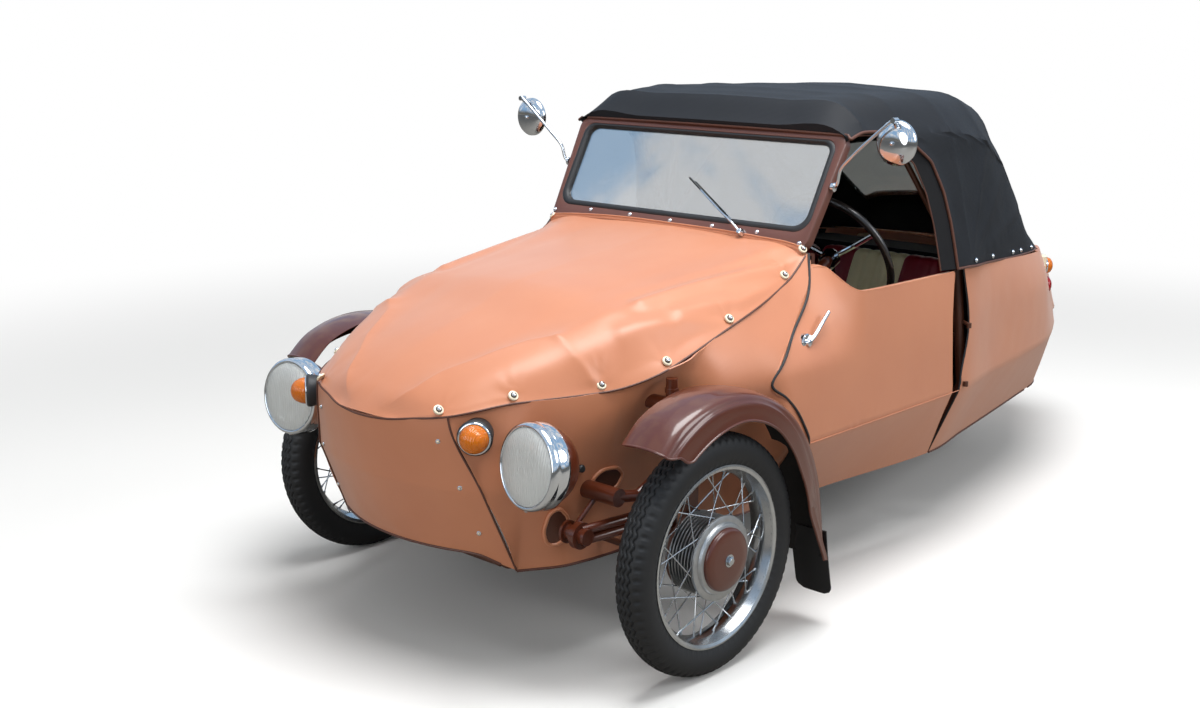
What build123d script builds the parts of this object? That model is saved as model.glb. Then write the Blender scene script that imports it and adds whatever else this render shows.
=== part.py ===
from build123d import *
from math import atan2, cos, degrees, hypot, radians, sin
import os

# Three wheeled car: vinyl skins over a tube frame, two wheels in front, one driven wheel behind.
# Millimetres. X is across (the driver's side is +X), -Y is forward, Z is up.
# The origin is on the ground under the middle of the overall length.

# Driving dimensions
NOSE_REACH = 500
TAIL_REACH = 2600
WHEELBASE = 1950
TRACK = 1250
TYRE_R = 288
TYRE_W = 85
RIM_R = 217
SKIN = 8
DOOR_WALL = 22
FIT = 0.3
GAP = 6
STEER_LOCK = 25

FRONT_Y = -(TAIL_REACH + NOSE_REACH) / 2 + NOSE_REACH
REAR_Y = FRONT_Y + WHEELBASE
WHEEL_X = TRACK / 2
KINGPIN_X = WHEEL_X - 120


def at(s):
    """Row Y of a distance behind the front axle."""
    return FRONT_Y + s


def both(shape):
    """A piece with its mirror image on the other side."""
    return [shape, mirror(shape, about=Plane.YZ)]


def tube(start, end, diameter):
    """A straight round bar between two points given as (x, s, z)."""
    a = Vector(start[0], at(start[1]), start[2])
    b = Vector(end[0], at(end[1]), end[2])
    return Solid.make_cylinder(diameter / 2, (b - a).length, Plane(a, z_dir=b - a))


def barrel(x, s, z, radius, length):
    """A disc or drum on a crosswise axle, from x outwards."""
    return Solid.make_cylinder(radius, length, Plane((x, at(s), z), z_dir=(1, 0, 0)))


def side_prism(profile, half_width=900):
    """A full-width block from a side-view outline of (s, z) points."""
    wire = Polyline([(at(s), z) for s, z in profile], close=True)
    return extrude(Plane.YZ * make_face(wire), half_width, both=True)


def front_prism(profile, start, end):
    """A lengthwise block from a front-view outline of (x, z) points, from s = start to end."""
    face = Plane.XZ * make_face(Polyline(list(profile), close=True))
    return Pos(0, at(end), 0) * extrude(face, end - start)


# Body skin: half outlines in plan at five heights
HEIGHTS = {"hem": 250, "keel": 455, "shoulder": 632, "waist": 800, "cowl": 905}
# Nose: corner x, corner s, s of the tip
NOSE = {
    "hem": (313, -309, -405),
    "keel": (300, -399, -475),
    "shoulder": (238, -443, -NOSE_REACH),
    "waist": (225, -435, -485),
    "cowl": (215, -425, -475),
}
# Sides: s, then half width at the hem, keel, shoulder, waist and cowl
SIDES = (
    (-200, 372, 392, 405, 370, 330),
    (-100, 388, 400, 432, 430, 390),
    (0, 395, 405, 445, 560, 500),
    (150, 405, 425, 550, 483, 430),
    (280, 425, 450, 572, 495, 430),
    (345, 440, 600, 588, 493, 425),
    (490, 452, 600, 592, 500, 423),
    (580, 458, 600, 592, 530, 461),
    (686, 463, 600, 592, 575, 560),
    (1170, 503, 598, 592, 575, 560),
    (1410, 462, 552, 548, 530, 515),
    (1930, 368, 465, 450, 398, 385),
)
# Tail: corner x, corner s, round start x, round start s, s of the tip
TAIL = {
    "hem": (330, 2120, 200, 2330, 2440),
    "keel": (395, 2120, 250, 2400, TAIL_REACH),
    "shoulder": (375, 2090, 232, 2350, 2520),
    "waist": (330, 2060, 200, 2250, 2350),
    "cowl": (320, 2040, 195, 2230, 2330),
}


def skin_half(s, z):
    """Half width of the skin on its side at distance s and height z."""
    for before, after in zip(SIDES, SIDES[1:]):
        if before[0] <= s <= after[0]:
            share = (s - before[0]) / (after[0] - before[0])
            widths = [a + (b - a) * share for a, b in zip(before[1:], after[1:])]
    levels = list(HEIGHTS.values())
    for i, (low, high) in enumerate(zip(levels, levels[1:])):
        if low <= z <= high:
            return widths[i] + (widths[i + 1] - widths[i]) * (z - low) / (high - low)


def outline(level, inset):
    """Closed plan outline of the skin at one height, drawn in by inset."""
    column = list(HEIGHTS).index(level) + 1
    nose_x, nose_s, nose_tip = NOSE[level]
    tail_x, tail_s, round_x, round_s, tail_tip = TAIL[level]
    half = [(0, nose_tip), (nose_x, nose_s)]
    half += [(row[column], row[0]) for row in SIDES]
    half += [(tail_x, tail_s), (round_x, round_s), (0, tail_tip)]
    moved = [(0, nose_tip + inset)]
    for before, here, after in zip(half, half[1:], half[2:]):
        a = Vector(here[0] - before[0], here[1] - before[1]).normalized()
        b = Vector(after[0] - here[0], after[1] - here[1]).normalized()
        across = Vector(-(a + b).Y, (a + b).X).normalized()
        step = inset / max(0.5, across.dot(Vector(-a.Y, a.X)))
        moved.append((here[0] + across.X * step, here[1] + across.Y * step))
    moved.append((0, tail_tip - inset))
    left = [(x, at(s)) for x, s in moved]
    right = [(-x, y) for x, y in left]
    edges = [
        ThreePointArc(right[1], left[0], left[1]),
        Polyline(left[1:-1]),
        ThreePointArc(left[-2], left[-1], right[-2]),
        Polyline(right[-2:0:-1]),
    ]
    return Plane.XY.offset(HEIGHTS[level]) * make_face(edges)


def envelope(inset):
    """The body's solid form, drawn in by inset all round."""
    return loft([outline(level, inset) for level in HEIGHTS], ruled=True)


OUTER = envelope(0)
INNER = envelope(SKIN)
DOOR_INNER = envelope(DOOR_WALL)
CLEAR = envelope(-FIT)

# Side-view lines as (s, z)
SEAM = ((-NOSE_REACH, 606), (-443, 632), (-320, 656), (-130, 663), (12, 705), (228, 774), (490, 841), (581, 900))
WAIST = ((1178, 800), (1942, 737))
DECK = ((1942, 737), (2200, 715), (2420, 640), (2560, 520), (TAIL_REACH + 20, 440))
HEM_Z = HEIGHTS["hem"]
NOSE_SEAM = ((238, 632), (300, 440), (313, HEM_Z))
PIPING = 1.6

# Fender: across the car it runs from the skin to past the tyre. Radii are about the wheel's centre:
# angle above the rearward horizontal, then the radius of the crown, of the bead and of the lip
FENDER_IN, FENDER_OUT = WHEEL_X - 65, WHEEL_X + 75
FENDER_T = 4
FENDER_ROWS = (
    (-15, 414, 394, 374),
    (-5, 390, 354, 330),
    (10, 384, 333, 298),
    (28, 386, 337, 297),
    (45, 388, 350, 307),
    (62, 391, 361, 320),
    (80, 392, 367, 324),
    (98, 393, 366, 315),
    (113, 393, 359, 306),
    (127, 380, 350, 300),
)
FENDER_END = ((-300, 601), (-120, 553), (-120, 300), (-300, 300))

# The door's front edge is an arc round the fender's tail
DOOR_EDGE_S, DOOR_EDGE_Z, DOOR_EDGE_R = 84, 325, 363
DOOR_HEM_BACK = 10
DOOR_REAR_TOP, DOOR_REAR_LOW = 1140, 1158
HINGE_X, HINGE_S = 604, 1176
HINGE_Z = (470, 640)
HINGE_R, HINGE_H = 7, 14


def hinge_barrel(z, toward):
    """One leaf of a door hinge: a barrel on the hinge line with its strap."""
    barrel = Pos(HINGE_X, at(HINGE_S), z) * Cylinder(HINGE_R, HINGE_H)
    return barrel + tube((HINGE_X, HINGE_S, z), (*toward, z), HINGE_H - 3)



def door_profile(grow):
    """Side-view outline of the door, made larger all round by grow."""
    r = DOOR_EDGE_R - grow
    low = HEM_Z - (20 if grow else 0)
    start = (DOOR_EDGE_S + (r**2 - (low - DOOR_EDGE_Z) ** 2) ** 0.5 + DOOR_HEM_BACK, low)
    mid = (DOOR_EDGE_S + r * cos(radians(25)), DOOR_EDGE_Z + r * sin(radians(25)))
    top = (
        DOOR_EDGE_S + DOOR_EDGE_R * cos(radians(55)) - grow * 1.2,
        DOOR_EDGE_Z + DOOR_EDGE_R * sin(radians(55)) + grow * 0.2,
    )
    p = lambda q: (at(q[0]), q[1])
    edges = [
        ThreePointArc(p(start), p(mid), p(top)),
        Polyline(
            p(top),
            p((581 - grow, 872 + grow)),
            p((600, 868 + grow)),
            p((640, 814 + grow)),
            p((686, 802 + grow)),
            p((DOOR_REAR_TOP + grow, 795 + grow)),
            p((DOOR_REAR_LOW + grow, 440)),
            p((DOOR_REAR_LOW + grow, low)),
            p(start),
        ),
    ]
    return extrude(Plane.YZ * make_face(edges), 900, both=True)


def half_space(sign):
    return Pos(sign * 500, 0, 700) * Box(1000, 4000, 1600)


LEFT, RIGHT = half_space(1), half_space(-1)
SHELL = OUTER - INNER
DOOR_SHELL = OUTER - DOOR_INNER

BELOW_SEAM = side_prism(
    [(s, z - PIPING) for s, z in SEAM] + [(620, 862), (700, 200), (-520, 200)]
)
NOSE_HEM = side_prism([(-520, 292), (-409, 288), (-300, HEM_Z), (-300, 200), (-520, 200)])


def front_skin():
    """Nose and front sides under the bonnet's edge, before they are parted."""
    skin = SHELL & BELOW_SEAM
    skin -= door_profile(GAP)
    skin -= NOSE_HEM
    return skin & (Pos(0, at(0), 600) * Box(1800, 1210, 1200))


def nose_zone(margin):
    points = [(x + margin, z) for x, z in NOSE_SEAM]
    left = [(points[0][0], 760)] + points + [(points[-1][0], 150)]
    return front_prism(left + [(-x, z) for x, z in reversed(left)], -560, -200)


def nose_panel():
    return front_skin() & nose_zone(-1)


def front_sides():
    """Side skins from the nose seams to the doors, with holes where tubes pass."""
    skin = front_skin() - nose_zone(1)
    for start, end, diameter in arm_bars():
        for bar in both(tube(start, end, diameter + 2 * FIT)):
            skin -= bar
    skin -= tube((-KINGPIN_X, -ARM_REACH, ROD_Z), (KINGPIN_X, -ARM_REACH, ROD_Z), ROD_D + 2 * GAP)
    return skin & LEFT, skin & RIGHT


QUARTER_FRONT = ((1178, 800), (1212, 640), (1200, 455), (1188, 200))


def rear_skin():
    """Quarters and tail behind the doors, open along the deck."""
    top = [(1178, 803), (1942, 740)] + [(s, z) for s, z in DECK[1:]]
    zone = side_prism(list(QUARTER_FRONT)[::-1] + top + [(2700, 440), (2700, 200)])
    return SHELL & zone


# The fixed tail's width at the lid, and the lid itself
LID_HALF = 285
LID_FRONT, LID_LOW = 2040, 475
TAIL_SPLIT = 2060
LID_GAP = 5


def lid_zone(margin):
    """Space of the lid between the lamps, from the deck down to its lower edge."""
    low, front = LID_LOW - margin, LID_FRONT - margin
    return side_prism([(front, 1000), (front, low), (2760, low), (2760, 1000)], LID_HALF + margin)


def behind(s):
    return Pos(0, at(s) + 500, 600) * Box(1800, 1000, 1200)


def deck_shell():
    """Deck over the tail, one skin thick, inside the body's outline."""
    outer = list(DECK)
    inner = [(s - 6, z - SKIN) for s, z in DECK]
    return side_prism(outer + inner[::-1]) & OUTER


# Ledge under the lid's front edge, along the deck's first slope
LEDGE_REACH, LEDGE_T = 15, 5
DECK_SLOPE = (DECK[1][1] - DECK[0][1]) / (DECK[1][0] - DECK[0][0])
LEDGE = tuple(
    (s, DECK[0][1] + (s - DECK[0][0]) * DECK_SLOPE) for s in (LID_FRONT - 25, LID_FRONT + LEDGE_REACH)
)


# Lid hinges: the lid's barrels and the tail's stand side by side on one axis above the gap
LID_AXIS_S, LID_AXIS_Z = LID_FRONT - LID_GAP / 2, DECK[0][1]
LID_BARREL_R, LID_BARREL_W = 6, 30
LID_HINGE_X = 180


def deck_z(s):
    """Height of the deck's first slope."""
    return DECK[0][1] + (s - DECK[0][0]) * DECK_SLOPE


def lid_leaf(x, strap):
    """One leaf of a lid hinge: a barrel on the axis from x outwards, on a strap along the deck."""
    leaf = barrel(x, LID_AXIS_S, LID_AXIS_Z, LID_BARREL_R, LID_BARREL_W)
    top = [(s, deck_z(s) + 4) for s in strap]
    low = [(s, deck_z(s) - 2) for s in reversed(strap)]
    return leaf + Pos(x + LID_BARREL_W / 2, 0, 0) * side_prism(top + low, LID_BARREL_W / 2)


def engine_lid():
    lid = deck_shell() & lid_zone(0)
    leaf = lid_leaf(LID_HINGE_X - LID_BARREL_W, (LID_FRONT, LID_FRONT + 24))
    return lid.fuse(*both(leaf))


def tail_panel():
    skin = (rear_skin() & behind(TAIL_SPLIT)) + (deck_shell() & behind(TAIL_SPLIT))
    shelf = (deck_shell() & envelope(SKIN + FIT)) - behind(TAIL_SPLIT)
    top = [(s, z - SKIN - 1) for s, z in LEDGE]
    low = [(s, z - LEDGE_T) for s, z in reversed(top)]
    ledge = side_prism(top + low, LID_HALF)
    tail = skin + shelf - lid_zone(LID_GAP) + ledge
    front = LID_FRONT - LID_GAP
    return tail.fuse(*both(lid_leaf(LID_HINGE_X + FIT, (front - 22, front))))


def quarters():
    skin = rear_skin() - behind(TAIL_SPLIT)
    return skin & LEFT, skin & RIGHT


def door(side):
    """Door as thick as its frame, with the upper leaves of its hinges."""
    wall = DOOR_SHELL & door_profile(0) & LEFT
    for z in HINGE_Z:
        wall += hinge_barrel(z + HINGE_H + FIT, (584, DOOR_REAR_LOW - 8))
    return wall if side > 0 else mirror(wall, about=Plane.YZ)


# Bonnet cover: s, edge x, edge z, shoulder x, shoulder z, crown z
BONNET = (
    (-492, 95, 609, 60, 614, 617),
    (-443, 238, 632, 170, 655, 668),
    (-320, 330, 656, 290, 702, 738),
    (-130, 425, 663, 370, 757, 802),
    (12, 495, 705, 410, 802, 850),
    (228, 505, 774, 440, 832, 875),
    (490, 470, 841, 440, 872, 908),
    (584, 461, 900, 436, 908, 926),
)
BONNET_T = 5


def bonnet_section(s, edge_x, edge_z, shoulder_x, shoulder_z, crown_z):
    t = BONNET_T
    low_x, in_x = edge_x - t, shoulder_x - t * 0.7
    edges = [
        Line((-edge_x, edge_z), (-shoulder_x, shoulder_z)),
        ThreePointArc((-shoulder_x, shoulder_z), (0, crown_z), (shoulder_x, shoulder_z)),
        Line((shoulder_x, shoulder_z), (edge_x, edge_z)),
        Line((edge_x, edge_z), (low_x, edge_z)),
        Line((low_x, edge_z), (in_x, shoulder_z - t)),
        ThreePointArc((in_x, shoulder_z - t), (0, crown_z - t), (-in_x, shoulder_z - t)),
        Line((-in_x, shoulder_z - t), (-low_x, edge_z)),
        Line((-low_x, edge_z), (-edge_x, edge_z)),
    ]
    return Pos(0, at(s), 0) * (Plane.XZ * make_face(edges))


def bonnet_cover():
    cover = loft([bonnet_section(*row) for row in BONNET], ruled=True)
    slot = extrude(screen_plane() * screen_face(-40), FRAME_D / 2 + FIT, both=True)
    return cover - slot


# Windscreen: a raked plane from its foot to its head
SCREEN_FOOT = (585, 902)
SCREEN_HEAD = (745, 1190)
SCREEN_LOW_X, SCREEN_TOP_X = 462, 476
FRAME_D = 26
GLASS_T = 5
SCREEN_RAKE = degrees(atan2(SCREEN_HEAD[1] - SCREEN_FOOT[1], SCREEN_HEAD[0] - SCREEN_FOOT[0]))
SCREEN_RISE = hypot(SCREEN_HEAD[0] - SCREEN_FOOT[0], SCREEN_HEAD[1] - SCREEN_FOOT[1])
SCREEN_BAR = 36


def screen_plane():
    foot = (0, at(SCREEN_FOOT[0]), SCREEN_FOOT[1])
    up = (0, cos(radians(SCREEN_RAKE)), sin(radians(SCREEN_RAKE)))
    return Plane(origin=foot, x_dir=(1, 0, 0), z_dir=Vector(1, 0, 0).cross(Vector(*up)))


def screen_face(border):
    low, top = SCREEN_LOW_X - border, SCREEN_TOP_X - border
    pts = [(-low, border), (low, border), (top, SCREEN_RISE - border), (-top, SCREEN_RISE - border)]
    face = make_face(Polyline(pts, close=True))
    return fillet(face.vertices(), max(5, 34 - border * 0.35))


def windscreen_frame():
    plane = screen_plane()
    ring = screen_face(0) - screen_face(SCREEN_BAR)
    return extrude(plane * ring, FRAME_D / 2, both=True)


def windscreen_glass():
    return extrude(screen_plane() * screen_face(SCREEN_BAR + FIT), GLASS_T / 2, both=True)


# Soft top: s, crown z, shoulder x, shoulder z, side x, side z
HOOD = (
    (722, 1208, 440, 1206, 486, 1196),
    (795, 1266, 415, 1250, 482, 1210),
    (960, 1289, 430, 1264, 496, 1200),
    (1178, 1291, 425, 1262, 510, 1190),
    (1420, 1284, 385, 1250, 490, 1150),
    (1600, 1250, 330, 1215, 445, 1080),
    (1760, 1130, 300, 1085, 410, 970),
    (1900, 975, 280, 935, 370, 860),
    (2010, 850, 250, 825, 330, 790),
)
HOOD_T = 7
HEM_SEAT = 0.8


def waist_z(s):
    """Height of the quarters' top edge, carried on forwards over the doors."""
    (s0, z0), (s1, z1) = WAIST
    return z0 + 3 + (max(s, s0) - s0) * (z1 - z0) / (s1 - s0)


def waist_half(s):
    """Half width of the skin at its waist."""
    rows = [(row[0], row[4]) for row in SIDES] + [(TAIL["waist"][1], TAIL["waist"][0])]
    for (s0, x0), (s1, x1) in zip(rows, rows[1:]):
        if s <= s1:
            return x0 + (s - s0) * (x1 - x0) / (s1 - s0)
    return x1


def hood_section(row, t):
    s, crown, sh_x, sh_z, side_x, side_z = row
    hem_x = waist_half(s) + 5
    low = waist_z(s) + HEM_SEAT - (30 if t else 0)
    pts = [(hem_x - t, low), (side_x - t, side_z - t * 0.3), (sh_x - t * 0.4, sh_z - t)]
    left = [(-x, z) for x, z in reversed(pts)]
    edges = [
        Polyline(pts),
        ThreePointArc(pts[-1], (0, crown - t), left[0]),
        Polyline(left),
        Line(left[-1], pts[0]),
    ]
    return Pos(0, at(s), 0) * (Plane.XZ * make_face(edges))


def hood_opening(grow):
    """Side-view outline of the opening over the door, cut right through both sides."""
    p = lambda s, z: (at(s), z)
    edges = [
        Line(p(560, 760), p(560, 1182 + grow)),
        Line(p(560, 1182 + grow), p(860, 1184 + grow)),
        ThreePointArc(p(860, 1184 + grow), p(1065 + grow, 1105 + grow), p(1118 + grow, 930)),
        Line(p(1118 + grow, 930), p(1140 + grow, 760)),
        Line(p(1140 + grow, 760), p(560, 760)),
    ]
    return extrude(Plane.YZ * make_face(edges), 900, both=True)


REAR_PANE_LOW, REAR_PANE_TOP = 900, 1120


def rear_pane_zone(grow):
    w, h = 260 + grow, 110 + grow
    pane = Pos(0, at(1830), 1030) * Rot(-45, 0, 0) * Box(2 * w, 2 * h, 260)
    return pane


def hood_shells():
    outer = loft([hood_section(row, 0) for row in HOOD], ruled=True)
    inner_rows = [list(row) for row in HOOD]
    inner_rows[0][0] -= 40
    inner_rows[-1][0] -= HOOD_T
    inner = loft([hood_section(row, HOOD_T) for row in inner_rows], ruled=True)
    return outer, inner


def soft_top():
    outer, inner = hood_shells()
    return outer - inner - hood_opening(0) - rear_pane_zone(0)


def rear_pane():
    outer, inner = hood_shells()
    return (outer - inner) & rear_pane_zone(-FIT)


# Wheels: profiles are (radius, distance outwards from the wheel's middle)
TYRE_PROFILE = ((207.3, 29), (218, 31), (226, 36), (250, 42.5), (268, 39), (281, 27), (288, 0))
RIM_FLANGE = 36
RIM_BED_R = 196
SPOKES = 18
SPOKE_D = 3.4
DRUM_R = 96
DRUM_W = 74
AXLE_D = 20
FINS = 7


def revolved(points):
    """A turned solid about the X axis from (x, radius) points."""
    return revolve(Plane.XY * make_face(Polyline(points, close=True)), Axis.X)


def tyre():
    right = [(w, r) for r, w in TYRE_PROFILE]
    left = [(-w, r) for r, w in reversed(TYRE_PROFILE[:-1])]
    return revolved(right + left)


def rim():
    f = RIM_FLANGE
    bed = RIM_BED_R
    pts = [
        (-f, 217.5), (-f + 4, 217.5), (-f + 6, 207), (-14, 203), (-8, bed + 3), (8, bed + 3), (14, 203),
        (f - 6, 207), (f - 4, 217.5), (f, 217.5), (f, 205), (16, 198), (9, bed - 2), (-9, bed - 2),
        (-16, 198), (-f, 205),
    ]
    return revolved(pts)


def hub():
    """Finned drum with two spoke flanges, a bore for the axle and a domed cover."""
    half = DRUM_W / 2
    pts = [(-half, AXLE_D / 2 + FIT), (-half, DRUM_R)]
    pitch = DRUM_W / FINS
    for i in range(FINS):
        x = -half + i * pitch
        pts += [(x + 0.01, DRUM_R), (x + 4, DRUM_R), (x + 5, DRUM_R - 12), (x + pitch - 1, DRUM_R - 12)]
    pts += [(half, DRUM_R), (half + 6, DRUM_R), (half + 6, 62), (half + 22, 60), (half + 28, 50)]
    pts += [(half + 30, 12), (half + 36, 11), (half + 36, AXLE_D / 2 + FIT)]
    return revolved(pts)


def spokes():
    """Two rows of crossed spokes from the drum's flanges to the rim bed."""
    rods = []
    for i in range(2 * SPOKES):
        side = 1 if i % 2 else -1
        lead = 1 if (i // 2) % 2 else -1
        foot = radians(360 / (2 * SPOKES) * i)
        head = foot + radians(34 * lead)
        x = side * (DRUM_W / 2 - 2)
        a = Vector(x, (DRUM_R - 3) * cos(head), (DRUM_R - 3) * sin(head))
        b = Vector(side * 4, (RIM_BED_R + 1) * cos(foot), (RIM_BED_R + 1) * sin(foot))
        rods.append(Solid.make_cylinder(SPOKE_D / 2, (b - a).length, Plane(a, z_dir=b - a)))
    return rods


def spoked_rim():
    body = rim()
    body = body.fuse(*spokes())
    drum_clear = Solid.make_cylinder(
        DRUM_R + FIT, DRUM_W + 40, Plane((-DRUM_W / 2 - 20, 0, 0), z_dir=(1, 0, 0))
    )
    return body.cut(drum_clear)


# Knuckle: yoke round the fixed kingpin housing, with stub axle and brake plate
HOUSING_LOW, HOUSING_TOP, HOUSING_R = 330, 430, 23
PIN_R = 11
PLATE_T = 8
DRUM_IN = WHEEL_X - DRUM_W / 2
PLATE_X = DRUM_IN - 3 - PLATE_T
ARM_REACH = 110
ARM_T = 14
ROD_D = 16
ROD_Z = 301


def knuckle():
    pin = Pos(KINGPIN_X, FRONT_Y, (HOUSING_LOW + HOUSING_TOP) / 2) * Cylinder(
        PIN_R, HOUSING_TOP - HOUSING_LOW + 30
    )
    inner_x = KINGPIN_X - 18
    yoke = Pos((inner_x + PLATE_X) / 2, FRONT_Y, 0) * Box(PLATE_X - inner_x, 44, 16)
    lower = Pos(0, 0, HOUSING_LOW - 9) * yoke
    upper = Pos(0, 0, HOUSING_TOP + 9) * yoke
    web = Pos(PLATE_X - 8, FRONT_Y, (HOUSING_LOW + HOUSING_TOP) / 2 - 30) * Box(16, 44, 196)
    plate = barrel(PLATE_X, 0, TYRE_R, DRUM_R - 4, PLATE_T)
    stub = barrel(PLATE_X, 0, TYRE_R, AXLE_D / 2, DRUM_W + 40)
    arm_z = HOUSING_LOW - 9
    arm = Pos(KINGPIN_X, at(-ARM_REACH / 2 - 5), arm_z) * Box(24, ARM_REACH + 14, ARM_T)
    return pin + lower + upper + web + plate + stub + arm


LOWER_S, LOWER_Z = -235, 350
UPPER_S, UPPER_Z = -160, 432
STUB_Z = 618


def arm_bars():
    """Start, end and diameter of the front suspension's round members on one side."""
    x = KINGPIN_X
    return (
        ((x - 105, LOWER_S, LOWER_Z), (x - 35, LOWER_S, LOWER_Z), 38),
        ((x - 117, UPPER_S, UPPER_Z), (x - 9, UPPER_S, UPPER_Z), 43),
        ((x - 24, UPPER_S, UPPER_Z), (x, -10, 408), 28),
        ((x - 56, LOWER_S, LOWER_Z + 12), (x - 6, -12, 372), 23),
        ((x - 56, LOWER_S, LOWER_Z - 12), (x - 6, -12, 348), 23),
        ((x - 68, LOWER_S, LOWER_Z), (x - 53, LOWER_S, LOWER_Z), 63),
        ((x - 102, LOWER_S, LOWER_Z), (x - 95, LOWER_S, LOWER_Z), 54),
        ((x - 84, LOWER_S, LOWER_Z + 8), (x - 78, UPPER_S, UPPER_Z - 8), 12),
        ((x - 13, -100, 422), (x, 8, 482), 22),
        ((x, 8, 468), (x, 8, 683), 28),
        ((x, 8, 650), (x, 8, 660), 33),
        ((x - 100, 8, STUB_Z), (x, 8, STUB_Z), 36),
    )


def front_arms():
    """Crosswise tubes, trailing arms, kingpin housings and upright dampers, both sides."""
    x = KINGPIN_X
    parts = [tube(*bar) for bar in arm_bars()]
    housing = Pos(x, FRONT_Y, (HOUSING_LOW + HOUSING_TOP) / 2) * Cylinder(
        HOUSING_R, HOUSING_TOP - HOUSING_LOW - 2
    )
    side = parts[0].fuse(*parts[1:]) + housing
    bore = Pos(x, FRONT_Y, (HOUSING_LOW + HOUSING_TOP) / 2) * Cylinder(PIN_R + FIT, 200)
    side -= bore & (Pos(x, FRONT_Y, 380) * Box(60, 60, HOUSING_TOP - HOUSING_LOW + 40))
    return side


def track_rod():
    """Rod between the steering arms, with an upright boss under each arm's end."""
    bar = tube((-KINGPIN_X, -ARM_REACH, ROD_Z), (KINGPIN_X, -ARM_REACH, ROD_Z), ROD_D)
    top = HOUSING_LOW - 9 - ARM_T / 2 - FIT
    low = ROD_Z - ROD_D / 2
    boss = Pos(KINGPIN_X, at(-ARM_REACH), (top + low) / 2) * Cylinder(12, top - low)
    return bar.fuse(*both(boss))


def fender_section(angle, crown, bead, lip):
    """The fender's sheet across one spoke of the wheel, from the skin over the crown to the lip."""
    outer = (
        (FENDER_IN, crown - 9), (FENDER_IN + 35, crown - 2), (FENDER_IN + 70, crown), (FENDER_OUT - 38, crown - 4),
        (FENDER_OUT - 18, (crown + bead) / 2), (FENDER_OUT - 9, bead), (FENDER_OUT - 2, bead - 14), (FENDER_OUT, lip),
    )
    inner = [(x - (FENDER_T if x > FENDER_OUT - 20 else 0), r - FENDER_T) for x, r in outer]
    inner[-1] = (FENDER_OUT - FENDER_T, lip)
    out = Vector(0, cos(radians(angle)), sin(radians(angle)))
    centre = Vector(0, FRONT_Y, TYRE_R)
    points = [centre + Vector(x, 0, 0) + out * r for x, r in list(outer) + inner[::-1]]
    return make_face(Polyline(points, close=True))


def fender():
    """Arched guard over the wheel, with its side skirt and the flap under its tail."""
    arch = loft([fender_section(*row) for row in FENDER_ROWS], ruled=True) - side_prism(FENDER_END)
    outline = Plane.XZ * Pos(WHEEL_X + 8, 168) * RectangleRounded(106, 180, 22)
    flap = side_prism([(378, 260), (390, 260), (424, 70), (413, 70)]) & extrude(outline, 1500, both=True)
    return (arch + flap) - CLEAR


LAMP_AT = Vector(436, at(-394), 546)
LAMP_AXIS = Vector(-16, -139, 19).normalized()
LAMP_R, LENS_R = 98, 88
LAMP_BED = 9
LAMP_DEPTH = 108


def headlamp_shell():
    """Short bowl with a deep rim, on a stub from the skin."""
    bed = LAMP_DEPTH - LAMP_BED - FIT
    bowl = [(0, 0), (0, 42), (14, 68), (36, 88), (60, LAMP_R - 3), (63, LAMP_R), (LAMP_DEPTH, LAMP_R)]
    bowl += [(LAMP_DEPTH, LENS_R + FIT), (bed, LENS_R + FIT), (bed, 0)]
    turned = revolve(Plane.XZ * make_face(Polyline([(r, h) for h, r in bowl], close=True)), Axis.Z)
    shell = Plane(LAMP_AT - LAMP_AXIS * LAMP_DEPTH, z_dir=LAMP_AXIS) * turned
    foot = tube((446, -300, 532), (392, -215, 505), 40)
    return shell + foot - CLEAR


def headlamp_lens():
    return Solid.make_cylinder(LENS_R, LAMP_BED - 1, Plane(LAMP_AT - LAMP_AXIS * LAMP_BED, z_dir=LAMP_AXIS))


def indicator():
    out = Vector(sin(radians(38)), -cos(radians(38)), 0)
    base = Vector(302, at(-419), 591)
    cup = Solid.make_cylinder(42, 54, Plane(base - out * 36, z_dir=out))
    dome = Solid.make_cone(34, 22, 22, Plane(base + out * 18, z_dir=out))
    return cup + dome - CLEAR


SCREEN_MID_X = 471


def mirrors():
    arm = tube((SCREEN_MID_X + FIT, 674, 1063), (SCREEN_MID_X + 24, 668, 1063), 16)
    arm += tube((489, 666, 1063), (560, 655, 1140), 10) + tube((560, 655, 1140), (640, 690, 1185), 10)
    disc = Solid.make_cylinder(57, 16, Plane((650, at(684), 1186), z_dir=(0, -1, 0)))
    return arm + disc


def wiper():
    """Spindle on the frame's foot with its blade lying along the glass."""
    plane = screen_plane()
    face = FRAME_D / 2
    foot = plane * Pos(250, 24, face + FIT + 8) * Cylinder(9, 16)
    tip = plane.from_local_coords(Vector(70, 130, face + 2))
    root = plane.from_local_coords(Vector(250, 24, face + 13))
    arm = Solid.make_cylinder(3.5, (tip - root).length, Plane(root, z_dir=tip - root))
    return foot + arm


def mudguard():
    outer = Solid.make_cylinder(318, 116, Plane((-58, REAR_Y, TYRE_R + 8), z_dir=(1, 0, 0)))
    inner = Solid.make_cylinder(314, 110, Plane((-55, REAR_Y, TYRE_R + 8), z_dir=(1, 0, 0)))
    core = Solid.make_cylinder(296, 200, Plane((-100, REAR_Y, TYRE_R + 8), z_dir=(1, 0, 0)))
    arch = (outer - inner - core) & (Pos(0, REAR_Y + 20, 600) * Box(200, 700, 560))
    top = DAMPER_TOP_Z - CROSS_D / 2 - FIT
    bracket = Pos(0, at(DAMPER_TOP_S), (600 + top) / 2) * Box(44, 14, top - 600)
    return arch + bracket


RAIL_X, RAIL_Z, RAIL_D = 290, 268, 34
POST_S = 1215
POST_TOP_X, POST_TOP_Z = 540, 790
SEAT_BAR_S, SEAT_BAR_Z = 1338.2, 560
DAMPER_TOP_S, DAMPER_TOP_Z = 1862, 668
CROSS_D = 28
ENGINE_S = 1488
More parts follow.
